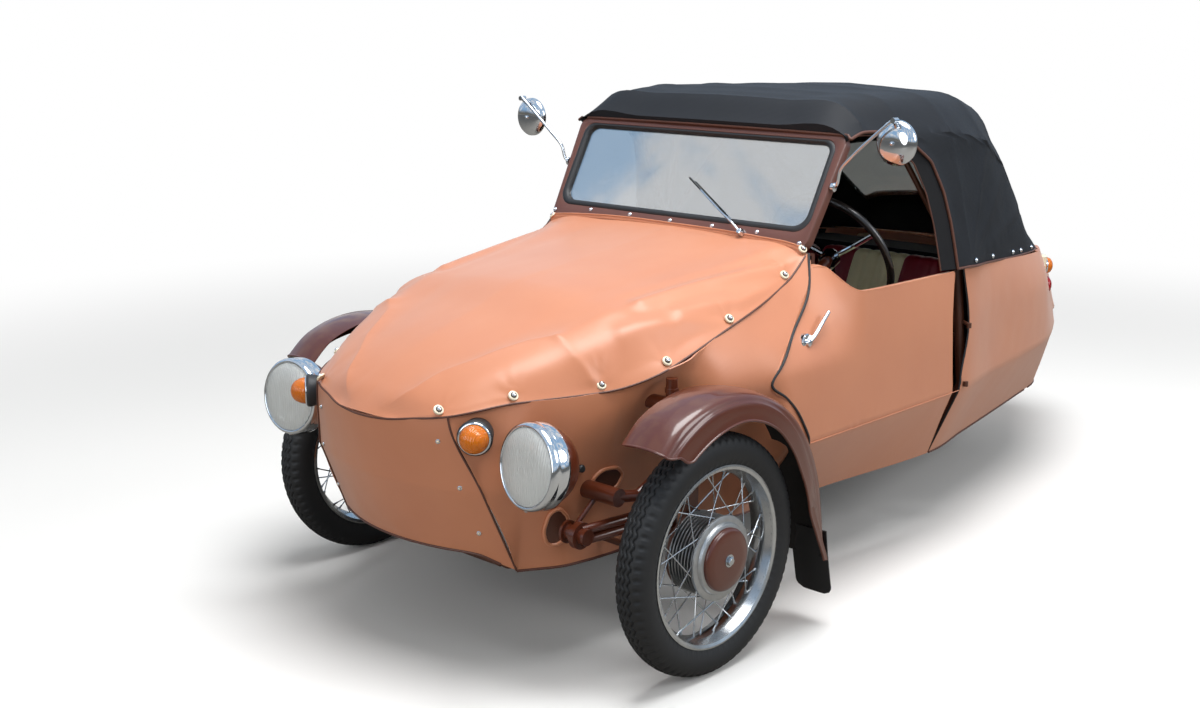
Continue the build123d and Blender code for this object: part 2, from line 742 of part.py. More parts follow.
# Cross tubes between the main rails, by their s, and the two that stand higher, as (s, z)
RAIL_TUBES = (-320, 200, 700, POST_S, ENGINE_S)
HIGH_TUBES = ((UPPER_S, UPPER_Z), (DAMPER_TOP_S, DAMPER_TOP_Z))


def chassis():
    """Main rails, cross tubes, front loop, door posts and the rear frame."""
    x, z = RAIL_X, RAIL_Z
    rows = (
        ((x, -330, z), (x, 1900, z), RAIL_D),
        ((x, 1900, z), (240, 2200, z + 20), 30),
        ((KINGPIN_X - 108, LOWER_S, LOWER_Z), (x, LOWER_S, z), 30),
        ((x, -235, z), (x, -235, 560), 30),
        ((x, -235, 560), (KINGPIN_X - 135, -60, 600), 26),
        ((KINGPIN_X - 125, 8, STUB_Z), (x, 8, z), 26),
        ((KINGPIN_X - 120, UPPER_S, UPPER_Z), (x, UPPER_S, UPPER_Z), 30),
        ((x, UPPER_S, UPPER_Z), (x, -235, UPPER_Z), 30),
        ((x, 560, z), (430, 560, z + 6), 26),
        ((x, POST_S, z), (480, POST_S, z + 6), 30),
        ((480, POST_S, z + 6), (568, POST_S, 455), 30),
        ((568, POST_S, 455), (POST_TOP_X, POST_S - 10, POST_TOP_Z), 30),
        ((556, POST_S, SEAT_BAR_Z), (490, SEAT_BAR_S, SEAT_BAR_Z), 26),
        ((490, SEAT_BAR_S, SEAT_BAR_Z), (0, SEAT_BAR_S, SEAT_BAR_Z), 26),
        ((x, DAMPER_TOP_S, z), (x, DAMPER_TOP_S, DAMPER_TOP_Z), 30),
    )
    bars = [tube(*row) for row in rows]
    side = bars[0].fuse(*bars[1:])
    cross = [tube((-x, s, cz), (x, s, cz), CROSS_D) for s, cz in HIGH_TUBES]
    reach = x - RAIL_D / 2 - FIT
    cross += [tube((-reach, s, z), (reach, s, z), CROSS_D) for s in RAIL_TUBES]
    frame = (side + mirror(side, about=Plane.YZ)).fuse(*cross) & envelope(SKIN + FIT)
    hinges = [hinge_barrel(hz, (562, POST_S)) for hz in HINGE_Z]
    return frame.fuse(*[leaf for hinge in hinges for leaf in both(hinge)])


FLOOR_Z = RAIL_Z + RAIL_D / 2 + FIT
FLOOR_T = 5
SEAT_Z = 355


def floor_pan():
    """Floor with its sloping toe board and the two risers under the seats."""
    z, t = FLOOR_Z, FLOOR_T
    plate = side_prism([(20, z), (1325, z), (1325, z + t), (24, z + t), (-74, 420), (-80, 416)], 370)
    for s in (800, 1140):
        plate += Pos(0, at(s), (z + SEAT_Z - FIT) / 2) * Box(880, 20, SEAT_Z - FIT - z)
    return plate - CHASSIS


def swing_arm():
    """Rear fork, axle and the two upright dampers."""
    x = 92
    rows = (
        ((x, 1634, RAIL_Z), (x, 1950, 288), 34),
        ((x, 1950, 288), (x + 8, 1876, 600), 30),
        ((x + 8, 1890, 540), (x + 8, 1866, DAMPER_TOP_Z - 17), 44),
    )
    bars = [tube(*row) for row in rows]
    side = bars[0].fuse(*bars[1:])
    axle = tube((-x, 1950, 288), (x, 1950, 288), AXLE_D)
    reach = RAIL_X - RAIL_D / 2 - FIT
    pivot = tube((-reach, 1634, RAIL_Z), (reach, 1634, RAIL_Z), 34)
    return (side + mirror(side, about=Plane.YZ)).fuse(axle, pivot)


# Exhaust outlets: the pipe's last length is a little wider, and runs clear under the tail's hem
PIPE_D = 24
OUTLET_S, OUTLET_Z, OUTLET_L = 2310, HEM_Z - 32, 60


def engine():
    """The engine as one plain block, with its two exhaust silencers."""
    low = RAIL_Z + CROSS_D / 2 + FIT
    block = Pos(0, at(ENGINE_S), (low + 545) / 2) * Box(300, 224, 545 - low)
    pipes = []
    for x in (-185, 185):
        pipes.append(tube((x * 0.6, 1470, 370), (x, 1470, 370), 36))
        pipes.append(tube((x, 1470, 370), (x, 1700, 300), 36))
        pipes.append(tube((x, 1690, 300), (x, 2140, 300), 66))
        pipes.append(tube((x, 2130, 300), (x, 2203, OUTLET_Z), PIPE_D))
        pipes.append(tube((x, 2195, OUTLET_Z), (x, OUTLET_S, OUTLET_Z), PIPE_D))
        pipes.append(tube((x, OUTLET_S - OUTLET_L, OUTLET_Z), (x, OUTLET_S, OUTLET_Z), PIPE_D + 2))
    return block.fuse(*pipes)


def seat_pad(x):
    """One sprung seat cushion as a plain rounded block."""
    block = Pos(x, at(972), SEAT_Z + 75) * Box(450, 390, 150)
    return fillet(block.edges().filter_by(Axis.Z), 50)


def seat_back(x):
    block = fillet(Box(450, 110, 440).edges().filter_by(Axis.Y), 50)
    return Pos(x, at(1290), 650) * Rot(-14, 0, 0) * block


WHEEL_TILT = 25
WHEEL_AXIS = Vector(0, cos(radians(WHEEL_TILT)), sin(radians(WHEEL_TILT)))
WHEEL_HUB_S, WHEEL_HUB_Z = 930, 830
WHEEL_HUB = Vector(300, at(WHEEL_HUB_S), WHEEL_HUB_Z)
COLUMN_END = 962
BOSS_H = 36


def dashboard():
    """Instrument board with the cowl shelf, and the steering column that it carries."""
    board = side_prism([(636, 770), (650, 770), (650, 889), (599, 898.6), (600, 892), (636, 884)], 440)
    top = WHEEL_HUB - WHEEL_AXIS * (BOSS_H / 2 + 10 + FIT)
    foot = WHEEL_HUB - WHEEL_AXIS * COLUMN_END
    column = Solid.make_cylinder(16, (top - foot).length, Plane(foot, z_dir=WHEEL_AXIS))
    hanger = Pos(300, at(643), 735) * Box(60, 14, 90)
    return board + column + hanger


def steering_wheel():
    """Rim, three spokes and boss, about the raked column."""
    ring = Torus(190, 11)
    arms = [Rot(0, 0, 90 + 120 * i) * Pos(95, 0, -6) * Box(190, 22, 8) for i in range(3)]
    boss = Pos(0, 0, -10) * Cylinder(28, BOSS_H)
    return Plane(origin=WHEEL_HUB, z_dir=WHEEL_AXIS) * (ring + boss + arms)


BOW_BOSS_R = 18
BOW_PIVOT = (POST_TOP_X, POST_S - 10, POST_TOP_Z + BOW_BOSS_R + 1.2)
BOW_DROP = 24


def hood_bows():
    """Three folding hoops that meet at a pivot on each door post."""
    boss = tube((BOW_PIVOT[0] - 18, *BOW_PIVOT[1:]), (BOW_PIVOT[0] + 12, *BOW_PIVOT[1:]), 2 * BOW_BOSS_R)
    parts = [boss]
    for s, crown, sh_x, sh_z, side_x, side_z in (HOOD[2], HOOD[3], HOOD[4]):
        low = (side_x - 34, s, side_z - BOW_DROP)
        high = (sh_x - 30, s, sh_z - BOW_DROP - 6)
        parts += [tube(BOW_PIVOT, low, 16), tube(low, high, 16), tube(high, (0, s, crown - BOW_DROP), 16)]
    side = parts[0].fuse(*parts[1:])
    return side + mirror(side, about=Plane.YZ)


def tail_lamp():
    """Upright bracket on the tail's corner with one lamp above the other."""
    out = Vector(sin(radians(42)), cos(radians(42)), 0)
    corner_x, corner_s = TAIL["shoulder"][:2]
    base = Plane(origin=(corner_x - 23, at(corner_s - 2), HEIGHTS["shoulder"]), x_dir=(0, 0, 1), z_dir=out)
    bracket = base * Pos(0, 0, -6) * Box(150, 58, 30)
    upper = base * Pos(36, 0, 9 + 10) * Cylinder(27, 20)
    lower = base * Pos(-30, 0, 9 + 12) * Cylinder(30, 24)
    return (bracket + upper + lower) - CLEAR


def handle():
    """Pull lever on its boss near the door's front edge."""
    s, z = 455, HEIGHTS["shoulder"] + 70
    tip_s, tip_z = s + 85, z + 63
    x = skin_half(s, z)
    boss = barrel(x - 7, s, z, 13, 20) - CLEAR
    return boss + tube((x + 10, s, z), (skin_half(tip_s, tip_z) + 14, tip_s, tip_z), 11)


def export(name, shape):
    solids = shape.solids() if hasattr(shape, "solids") else shape
    whole = Compound(children=list(solids)) if len(solids) > 1 else solids[0]
    whole.label = name
    export_step(whole, "parts/" + name + ".step")


os.makedirs("parts", exist_ok=True)
CHASSIS = chassis()
side_left, side_right = front_sides()
quarter_left, quarter_right = quarters()
pieces = {
    "nose_panel": nose_panel(),
    "bonnet_cover": bonnet_cover(),
    "front_side_left": side_left,
    "front_side_right": side_right,
    "quarter_left": quarter_left,
    "quarter_right": quarter_right,
    "tail_panel": tail_panel(),
    "engine_lid": engine_lid(),
    "door_left": door(1),
    "door_right": door(-1),
    "soft_top": soft_top(),
    "rear_pane": rear_pane(),
    "windscreen_frame": windscreen_frame(),
    "windscreen_glass": windscreen_glass(),
    "chassis_tubes": CHASSIS,
    "floor_pan": floor_pan(),
    "engine_block": engine(),
    "swing_arm": swing_arm(),
    "rear_mudguard": mudguard(),
    "dashboard": dashboard(),
    "steering_wheel": steering_wheel(),
    "hood_bows": hood_bows(),
    "wiper": wiper(),
    "track_rod": track_rod(),
}
for name, shape in pieces.items():
    export(name, shape)

paired = {
    "front_arms": front_arms(),
    "fenders": fender(),
    "headlamp_shells": headlamp_shell(),
    "headlamp_lenses": headlamp_lens(),
    "indicators": indicator(),
    "mirrors": mirrors(),
    "tail_lamps": tail_lamp(),
}
for name, shape in paired.items():
    export(name, Compound(children=[s for half in both(shape) for s in half.solids()]))

for name, shape in (("seat_cushions", seat_pad), ("seat_backs", seat_back)):
    export(name, Compound(children=[s for x in (-236, 236) for s in shape(x).solids()]))

left_knuckle = knuckle()
left_handle = handle()
for side, turn in (("left", 1), ("right", -1)):
    for name, shape in (("knuckle_", left_knuckle), ("door_handle_", left_handle)):
        export(name + side, shape if turn > 0 else mirror(shape, about=Plane.YZ))

wheel_parts = {"tyre_": tyre(), "rim_": spoked_rim(), "hub_": hub()}
places = {
    "left": Pos(WHEEL_X, FRONT_Y, TYRE_R),
    "right": Pos(-WHEEL_X, FRONT_Y, TYRE_R) * Rot(0, 0, 180),
    "rear": Pos(0, REAR_Y, TYRE_R),
}
for side, place in places.items():
    for name, shape in wheel_parts.items():
        export(name + side, place * shape)
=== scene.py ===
import math
import random

import bmesh
import bpy
import numpy as np
from mathutils import Matrix, Vector, noise


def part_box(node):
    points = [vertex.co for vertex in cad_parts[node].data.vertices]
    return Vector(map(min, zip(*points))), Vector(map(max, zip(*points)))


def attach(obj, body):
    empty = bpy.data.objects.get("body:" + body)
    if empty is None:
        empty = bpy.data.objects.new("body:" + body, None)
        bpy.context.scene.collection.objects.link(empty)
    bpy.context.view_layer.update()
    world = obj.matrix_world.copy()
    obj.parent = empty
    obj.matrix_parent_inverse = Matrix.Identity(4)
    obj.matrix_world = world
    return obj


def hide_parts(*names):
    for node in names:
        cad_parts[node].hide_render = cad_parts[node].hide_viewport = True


# Three wheeled car with vinyl skins over a tube frame and a canvas soft top.
# Every size below is in millimetres as (x, s, z): x across with the driver's side positive,
# s behind the front axle, z above the ground. Pieces are turned to metres as they are made.

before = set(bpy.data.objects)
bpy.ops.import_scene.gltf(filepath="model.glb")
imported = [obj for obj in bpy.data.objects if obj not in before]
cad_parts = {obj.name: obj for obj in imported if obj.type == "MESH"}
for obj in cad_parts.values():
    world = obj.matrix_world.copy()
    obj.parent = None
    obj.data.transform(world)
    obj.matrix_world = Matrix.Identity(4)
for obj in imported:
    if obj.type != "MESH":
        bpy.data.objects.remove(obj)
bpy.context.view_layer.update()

MM = 0.001
tyre_low, tyre_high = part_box("tyre_left")
FRONT_Y = (tyre_low[1] + tyre_high[1]) / 2
tail_low, tail_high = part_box("tyre_rear")
WHEELBASE = ((tail_low[1] + tail_high[1]) / 2 - FRONT_Y) / MM
WHEEL_X = (tyre_low[0] + tyre_high[0]) / 2 / MM
TYRE_R = (tyre_high[2] - tyre_low[2]) / 2 / MM


def metres(points):
    """Car millimetres (x, s, z) to metres in the row frame."""
    p = np.asarray(points, float).reshape(-1, 3) * MM
    p[:, 1] += FRONT_Y
    return p


# Curves

def smooth(knots, values, at):
    """Monotone curve through values at the knots. Values may hold one column for each place asked."""
    k = np.asarray(knots, float)
    shape = np.shape(at) or (1,)
    x = np.asarray(at, float).ravel()
    v = np.asarray(values, float)
    if v.ndim == 1:
        v = np.repeat(v[:, None], x.size, axis=1)
    h = np.diff(k)[:, None]
    d = np.diff(v, axis=0) / h
    m = np.zeros_like(v)
    same = d[:-1] * d[1:] > 0
    w1, w2 = 2 * h[1:] + h[:-1], h[1:] + 2 * h[:-1]
    safe = np.where(same, d[:-1], 1), np.where(same, d[1:], 1)
    m[1:-1] = np.where(same, (w1 + w2) / (w1 / safe[0] + w2 / safe[1]), 0)
    m[0], m[-1] = d[0], d[-1]
    x = np.clip(x, k[0], k[-1])
    i = np.clip(np.searchsorted(k, x, side="right") - 1, 0, len(k) - 2)
    c = np.arange(x.size)
    step = h[i, 0]
    t = (x - k[i]) / step
    rise = (2 * t**3 - 3 * t**2 + 1) * v[i, c] + (3 * t**2 - 2 * t**3) * v[i + 1, c]
    return (rise + step * ((t**3 - 2 * t**2 + t) * m[i, c] + (t**3 - t**2) * m[i + 1, c])).reshape(shape)


def through(points, count, closed=False):
    """Count points, evenly spaced, on a smooth line through the given ones."""
    p = np.asarray(points, float)
    if closed:
        p = np.vstack([p[-2], p[-1], p, p[0], p[1]])
    gaps = np.linalg.norm(np.diff(p, axis=0), axis=1)
    k = np.concatenate([[0], np.cumsum(np.maximum(gaps, 1e-6))])
    h = np.diff(k)[:, None]
    d = np.diff(p, axis=0) / h
    m = np.zeros_like(p)
    m[1:-1] = (d[:-1] * h[1:] + d[1:] * h[:-1]) / (h[1:] + h[:-1])
    m[0], m[-1] = d[0], d[-1]
    start, end = (k[2], k[-2]) if closed else (k[0], k[-1])
    x = np.linspace(start, end, count + 1)[:-1] if closed else np.linspace(start, end, count)
    i = np.clip(np.searchsorted(k, x, side="right") - 1, 0, len(k) - 2)
    t = ((x - k[i]) / h[i, 0])[:, None]
    out = (2 * t**3 - 3 * t**2 + 1) * p[i] + (3 * t**2 - 2 * t**3) * p[i + 1]
    return out + h[i] * ((t**3 - 2 * t**2 + t) * m[i] + (t**3 - t**2) * m[i + 1])


def ease(t):
    t = np.clip(t, 0, 1)
    return t * t * (3 - 2 * t)


def hump(value, centre, width):
    """A soft bump of height 1 at the centre."""
    return np.exp(-(((value - centre) / width) ** 2))


def ripple(points, size, seed=0.0, stretch=(1, 1, 1)):
    """Cloth-like unevenness between about -1 and 1 at each point."""
    q = np.asarray(points).reshape(-1, 3) / size / np.asarray(stretch) + seed
    return np.array([noise.noise(Vector(p)) for p in q])


# Materials

def linear(code):
    """A colour written as sRGB hex, as linear red, green, blue and alpha."""
    out = []
    for i in (0, 2, 4):
        c = int(code[i : i + 2], 16) / 255
        out.append(c / 12.92 if c <= 0.04045 else ((c + 0.055) / 1.055) ** 2.4)
    return (*out, 1.0)


def add(tree, kind, settings=None, links=None):
    """Adds a node; settings are its properties or socket values, links its sockets fed by others."""
    node = tree.nodes.new(kind)
    for key, value in (settings or {}).items():
        if isinstance(key, str) and hasattr(node, key):
            setattr(node, key, value)
        else:
            node.inputs[key].default_value = value
    for key, source in (links or {}).items():
        tree.links.new(source, node.inputs[key])
    return node


# Blender's wave texture has bands this far apart at scale 1
WAVE_PITCH = math.pi / 10


def surface(name, colour, darker, patch_mm, settings, bumps=()):
    """A material whose colour drifts between two shades over patches of the size given.
    Bumps are (kind, size in mm, depth in mm, strength) with kind grain, weave or soft."""
    material = bpy.data.materials.new(name)
    material.use_nodes = True
    tree = material.node_tree
    tree.nodes.clear()
    place = add(tree, "ShaderNodeTexCoord").outputs["Object"]
    drift = add(
        tree, "ShaderNodeTexNoise", {"Scale": 1 / (patch_mm * MM), "Detail": 3.0}, {"Vector": place}
    )
    shade = add(
        tree,
        "ShaderNodeMix",
        {"data_type": "RGBA", 6: linear(colour), 7: linear(darker)},
        {0: drift.outputs["Fac"]},
    )
    shader = add(tree, "ShaderNodeBsdfPrincipled", settings, {"Base Color": shade.outputs[2]})
    normal = None
    for kind, size, depth, strength in bumps:
        scale = 1 / (size * MM)
        if kind == "grain":
            cells = add(tree, "ShaderNodeTexVoronoi", {"Scale": scale}, {"Vector": place})
            height = cells.outputs["Distance"]
        elif kind == "weave":
            waves = []
            for direction in ("X", "Y", "Z"):
                wave = add(
                    tree,
                    "ShaderNodeTexWave",
                    {"Scale": scale * WAVE_PITCH, "bands_direction": direction},
                    {"Vector": place},
                )
                waves.append(wave.outputs["Fac"])
            pair = add(tree, "ShaderNodeMath", {"operation": "MULTIPLY"}, {0: waves[0], 1: waves[1]})
            total = add(tree, "ShaderNodeMath", {"operation": "ADD"}, {0: pair.outputs[0], 1: waves[2]})
            height = total.outputs[0]
        else:
            streak = add(tree, "ShaderNodeTexNoise", {"Scale": scale, "Detail": 2.0}, {"Vector": place})
            height = streak.outputs["Fac"]
        links = {"Height": height}
        if normal is not None:
            links["Normal"] = normal
        bump = add(tree, "ShaderNodeBump", {"Distance": depth * MM, "Strength": strength}, links)
        normal = bump.outputs["Normal"]
    if normal is not None:
        tree.links.new(normal, shader.inputs["Normal"])
    out = add(tree, "ShaderNodeOutputMaterial")
    tree.links.new(shader.outputs["BSDF"], out.inputs["Surface"])
    return material


# Calendered vinyl on cloth: a leather-like grain about 1.4 mm wide, drawn coarser, and a dull shine
VINYL = surface(
    "calendered_vinyl_cloth", "C27D57", "B97350", 160,
    {
        "Roughness": 0.5, "IOR": 1.5, "Sheen Weight": 0.24, "Sheen Roughness": 0.45,
        "Coat Weight": 0.4, "Coat Roughness": 0.36,
    },
    (("grain", 2.4, 0.25, 0.35), ("soft", 55, 3.0, 0.22)),
)
# The same vinyl folded over a cord along the seams, dark brown; the same colour paints the shade in the
# openings round the arms
BINDING = surface(
    "vinyl_seam_binding", "5E3626", "4A2A1E", 30, {"Roughness": 0.5, "IOR": 1.5},
    (("grain", 2.0, 0.2, 0.4),),
)
# Coated canvas: threads near 0.6 mm apart, drawn at 3 mm so that they show, nearly matt
CANVAS = surface(
    "coated_hood_canvas", "15171C", "101216", 120, {"Roughness": 0.66, "IOR": 1.36},
    (("weave", 3.0, 0.3, 0.5), ("soft", 70, 4.0, 0.2)),
)
# Black cotton lining: matt, swallows the light
LINING = surface("black_cotton_lining", "17171A", "0F0F11", 60, {"Roughness": 0.95, "IOR": 1.4})
# Stoving enamel over steel: deep brown under a clear smooth gloss
ENAMEL = surface(
    "brown_stoving_enamel", "58240E", "4C1E0B", 220,
    {"Roughness": 0.34, "IOR": 1.45, "Coat Weight": 0.6, "Coat Roughness": 0.06},
    (("soft", 40, 0.6, 0.15),),
)
# Painted shade inside the fenders: their undersides black and matt, with a coarse grain
UNDERSIDE_SHADE = surface(
    "fender_underside_painted_shade", "191817", "242220", 25, {"Roughness": 0.9, "IOR": 1.5},
    (("grain", 5.0, 0.5, 0.5),),
)
# Brushed-on frame paint in a dull brown
FRAME_PAINT = surface(
    "brushed_frame_paint", "4E2817", "40200F", 90, {"Roughness": 0.48, "IOR": 1.5},
    (("soft", 12, 0.4, 0.3),),
)
# The screen's frame has the same paint weathered to a plum brown
SCREEN_PAINT = surface(
    "weathered_screen_paint", "64392C", "573024", 80,
    {"Roughness": 0.42, "IOR": 1.5, "Coat Weight": 0.3},
    (("soft", 15, 0.3, 0.2),),
)
# Moulded tyre rubber: carbon black with a dusty bloom in patches
TYRE = surface(
    "moulded_tyre_rubber", "1B1B1C", "141415", 70, {"Roughness": 0.62, "IOR": 1.45},
    (("grain", 3.0, 0.2, 0.3),),
)
# Extruded rubber of seals, flaps and grommets: plain, dull black
SEAL = surface("extruded_black_rubber", "161617", "1E1E20", 40, {"Roughness": 0.55, "IOR": 1.52})
# Bright chromium plate on rolled brass: a near mirror
CHROME = surface("chromium_plate", "DADDE0", "C9CCD0", 60, {"Metallic": 1.0, "Roughness": 0.07})
# Silvered reflector behind the lens, a little hazy
SILVER = surface("silvered_reflector", "E8EAEC", "D6DADD", 40, {"Metallic": 1.0, "Roughness": 0.22})
# Zinc-plated steel of rims and spokes, polished, with soft unevenness
ZINC = surface(
    "polished_zinc_plate", "C9CBCC", "A9ACAE", 25, {"Metallic": 1.0, "Roughness": 0.24},
    (("soft", 6, 0.1, 0.2),),
)
# Sand-cast aluminium: a fine pitted skin about 1 mm across, drawn at 2 mm so that it shows
CAST = surface(
    "cast_aluminium", "B9BABA", "989A9B", 18, {"Metallic": 1.0, "Roughness": 0.42},
    (("grain", 2.0, 0.3, 0.35),),
)
# Sheet steel floor under rubberised paint: matt, with a coarse grain
FLOOR_SHEET = surface(
    "rubberised_floor_paint", "2B2A2A", "222121", 50, {"Roughness": 0.85, "IOR": 1.5},
    (("grain", 4.0, 0.4, 0.4),),
)
# Seat leathercloth in maroon, embossed with a grain about 1.5 mm wide, drawn coarser, and painted lighter
# than the cloth's own colour for the light falling into the cockpit
SEAT_RED_LIGHTENED = surface(
    "maroon_leathercloth_painted_light", "8E1024", "780C1D", 70, {"Roughness": 0.5, "IOR": 1.45},
    (("grain", 2.6, 0.3, 0.4), ("soft", 40, 2.0, 0.2)),
)
# The same leathercloth in cream, for the channels down the middle, also painted lighter for the light falling
# into the cockpit
SEAT_CREAM_LIGHTENED = surface(
    "cream_leathercloth_painted_light", "F6EEC6", "EDE3B6", 60, {"Roughness": 0.5, "IOR": 1.45},
    (("grain", 2.6, 0.3, 0.4), ("soft", 40, 2.0, 0.15)),
)
# Moulded phenolic plastic of the dial, the horn button and the steering rim: a dark gloss
PHENOLIC = surface("moulded_phenolic", "1B1715", "241D1A", 30, {"Roughness": 0.25, "IOR": 1.6})
# Enamelled button tops in cream
BUTTON = surface(
    "cream_enamel_button", "E6DCC4", "D8CBB0", 12, {"Roughness": 0.3, "IOR": 1.5, "Coat Weight": 0.5}
)

RIB_DEPTH = 1.5


def moulded_glass(name, colour, darker, transmission, roughness, ior, ribs_mm=0, coat=None):
    """Clear or coloured glass and plastic, with the ribs of a moulded lens where a width is given."""
    settings = {"Roughness": roughness, "IOR": ior, "Transmission Weight": transmission}
    material = surface(name, colour, darker, 50, {**settings, **(coat or {})})
    if ribs_mm:
        tree = material.node_tree
        shader = next(n for n in tree.nodes if n.type == "BSDF_PRINCIPLED")
        place = next(n for n in tree.nodes if n.type == "TEX_COORD").outputs["Object"]
        wave = add(
            tree,
            "ShaderNodeTexWave",
            {"Scale": WAVE_PITCH / (ribs_mm * MM), "bands_direction": "X"},
            {"Vector": place},
        )
        depth = {"Distance": RIB_DEPTH * MM, "Strength": 0.5}
        bump = add(tree, "ShaderNodeBump", depth, {"Height": wave.outputs["Fac"]})
        tree.links.new(bump.outputs["Normal"], shader.inputs["Normal"])
    return material


# Toughened plate glass with the faint blue of its iron; its coat mirrors the sky
PANE = moulded_glass(
    "toughened_plate_glass", "D6E2EC", "CBDAE8", 1.0, 0.02, 1.52,
    coat={"Coat Weight": 1.0, "Coat Roughness": 0.02, "Coat IOR": 4.0},
)
# Pressed lamp glass, fluted about 7 mm wide
FLUTED = moulded_glass("pressed_fluted_glass", "F4F7F6", "E8ECEC", 0.5, 0.1, 1.5, ribs_mm=7)
# Moulded amber acrylic of the indicators, ribbed inside every 5 mm
AMBER = moulded_glass("moulded_amber_acrylic", "F08A10", "E27606", 0.35, 0.12, 1.49, ribs_mm=5)
# Moulded red acrylic of the tail lamps, ribbed in the same way
RED = moulded_glass("moulded_red_acrylic", "B0121A", "980C14", 0.3, 0.12, 1.49, ribs_mm=5)
# Soft clear sheet of the hood's window, slightly cloudy
CLEAR_SHEET = moulded_glass("soft_clear_sheet", "E4E6E2", "D6D9D6", 0.9, 0.12, 1.46)


# Making pieces

def arc(grid):
    """The longest line along each of a grid's two directions, in metres, and its area in square metres."""
    down = np.linalg.norm(np.diff(grid, axis=0), axis=2).sum(axis=0).max()
    across = np.linalg.norm(np.diff(grid, axis=1), axis=2).sum(axis=1).max()
    a, b = grid[1:, 1:] - grid[:-1, :-1], grid[1:, :-1] - grid[:-1, 1:]
    area = np.linalg.norm(np.cross(a, b), axis=2).sum() / 2
    return float(across) * MM, float(down) * MM, float(area) * MM * MM


def stretched(obj):
    """Returns the skin as it is."""
    return obj


class Stock:
    """The points and faces of one piece while it is being made, in car millimetres."""

    def __init__(self):
        self.points = []
        self.faces = []
        self.finish_of = []

    def take(self, points, faces, finish=0):
        start = len(self.points)
        self.points.extend(np.asarray(points, float).reshape(-1, 3).tolist())
        self.faces.extend(tuple(start + i for i in f) for f in faces)
        self.finish_of.extend([finish] * len(faces))
        return self

    def sheet(self, grid, thickness=0.0, inside=None, finish=0, back=None, rim=None, shift=None):
        """A sheet through a grid of points; with a thickness it is closed on the side facing inside, or moved
        by the shift given."""
        grid = np.asarray(grid, float)
        n, m, _ = grid.shape
        quads = [
            (i * m + j, i * m + j + 1, (i + 1) * m + j + 1, (i + 1) * m + j)
            for i in range(n - 1)
            for j in range(m - 1)
        ]
        if not thickness:
            return self.take(grid, quads, finish)
        if shift is None:
            under = grid - outward(grid, inside) * thickness
        else:
            under = grid + np.array(shift, float)
        size = n * m
        back_quads = [tuple(size + i for i in reversed(q)) for q in quads]
        border = list(range(m))
        border += [i * m + m - 1 for i in range(1, n)]
        border += [(n - 1) * m + j for j in range(m - 2, -1, -1)]
        border += [i * m for i in range(n - 2, 0, -1)]
        ring = list(zip(border, border[1:] + border[:1]))
        edge = [(b, a, size + a, size + b) for a, b in ring]
        start = len(self.points)
        self.take(np.vstack([grid.reshape(-1, 3), under.reshape(-1, 3)]), quads, finish)
        for group, mark in ((back_quads, back), (edge, rim)):
            self.faces.extend(tuple(start + i for i in f) for f in group)
            self.finish_of.extend([finish if mark is None else mark] * len(group))
        return self

    def rod(self, path, radius, sides=10, closed=False, finish=0, ends=True):
        """A round rod along a line of points; radius may be one number or one for each point."""
        path = np.asarray(path, float)
        n = len(path)
        radii = np.broadcast_to(np.asarray(radius, float), (n,))
        along = np.roll(path, -1, 0) - np.roll(path, 1, 0) if closed else np.gradient(path, axis=0)
        along /= np.maximum(np.linalg.norm(along, axis=1), 1e-9)[:, None]
        up = np.array([0.0, 0.0, 1.0]) if abs(along[0][2]) < 0.9 else np.array([1.0, 0.0, 0.0])
        rings = []
        for p, t, r in zip(path, along, radii):
            side = np.cross(t, up)
            side /= np.linalg.norm(side)
            up = np.cross(side, t)
            a = np.linspace(0, 2 * math.pi, sides, endpoint=False)
            rings.append(p + r * (np.cos(a)[:, None] * side + np.sin(a)[:, None] * up))
        faces = []
        for i in range(n if closed else n - 1):
            j = (i + 1) % n
            for k in range(sides):
                l = (k + 1) % sides
                faces.append((i * sides + k, i * sides + l, j * sides + l, j * sides + k))
        if ends and not closed:
            faces.append(tuple(range(sides)))
            faces.append(tuple((n - 1) * sides + k for k in range(sides)))
        return self.take(np.vstack(rings), faces, finish)

    def turned(self, profile, centre, axis, sides=32, finish=0, closed=False):
        """A turned piece: profile points are (distance along the axis, radius)."""
        axis = np.asarray(axis, float) / np.linalg.norm(axis)
        side = np.cross(axis, [0, 0, 1.0]) if abs(axis[2]) < 0.9 else np.cross(axis, [1.0, 0, 0])
        side /= np.linalg.norm(side)
        up = np.cross(side, axis)
        a = np.linspace(0, 2 * math.pi, sides, endpoint=False)
        ring = np.cos(a)[:, None] * side + np.sin(a)[:, None] * up
        rows = [np.asarray(centre) + axis * d + ring * r for d, r in profile]
        n = len(rows)
        faces = []
        for i in range(n if closed else n - 1):
            j = (i + 1) % n
            for k in range(sides):
                l = (k + 1) % sides
                faces.append((i * sides + k, i * sides + l, j * sides + l, j * sides + k))
        if not closed:
            faces.append(tuple(range(sides)))
            faces.append(tuple((n - 1) * sides + k for k in range(sides)))
        return self.take(np.vstack(rows), faces, finish)

    def block(self, centre, size, turn=None, chamfer=2.0, finish=0):
        """A box with chamfered edges; turn is a 3 by 3 matrix of its axes."""
        half = np.asarray(size, float) / 2
        c = min(chamfer, half.min() * 0.9)
        corners = []
        for signs in ((x, y, z) for x in (-1, 1) for y in (-1, 1) for z in (-1, 1)):
            for axis in range(3):
                corner = [s * (h - c) for s, h in zip(signs, half)]
                corner[axis] = signs[axis] * half[axis]
                corners.append(corner)
        shape = bmesh.new()
        for corner in corners:
            shape.verts.new(corner)
        bmesh.ops.convex_hull(shape, input=shape.verts)
        shape.verts.index_update()
        points = np.array([v.co[:] for v in shape.verts])
        faces = [tuple(v.index for v in f.verts) for f in shape.faces]
        shape.free()
        if turn is not None:
            points = points @ np.asarray(turn, float).T
        return self.take(points + np.asarray(centre, float), faces, finish)

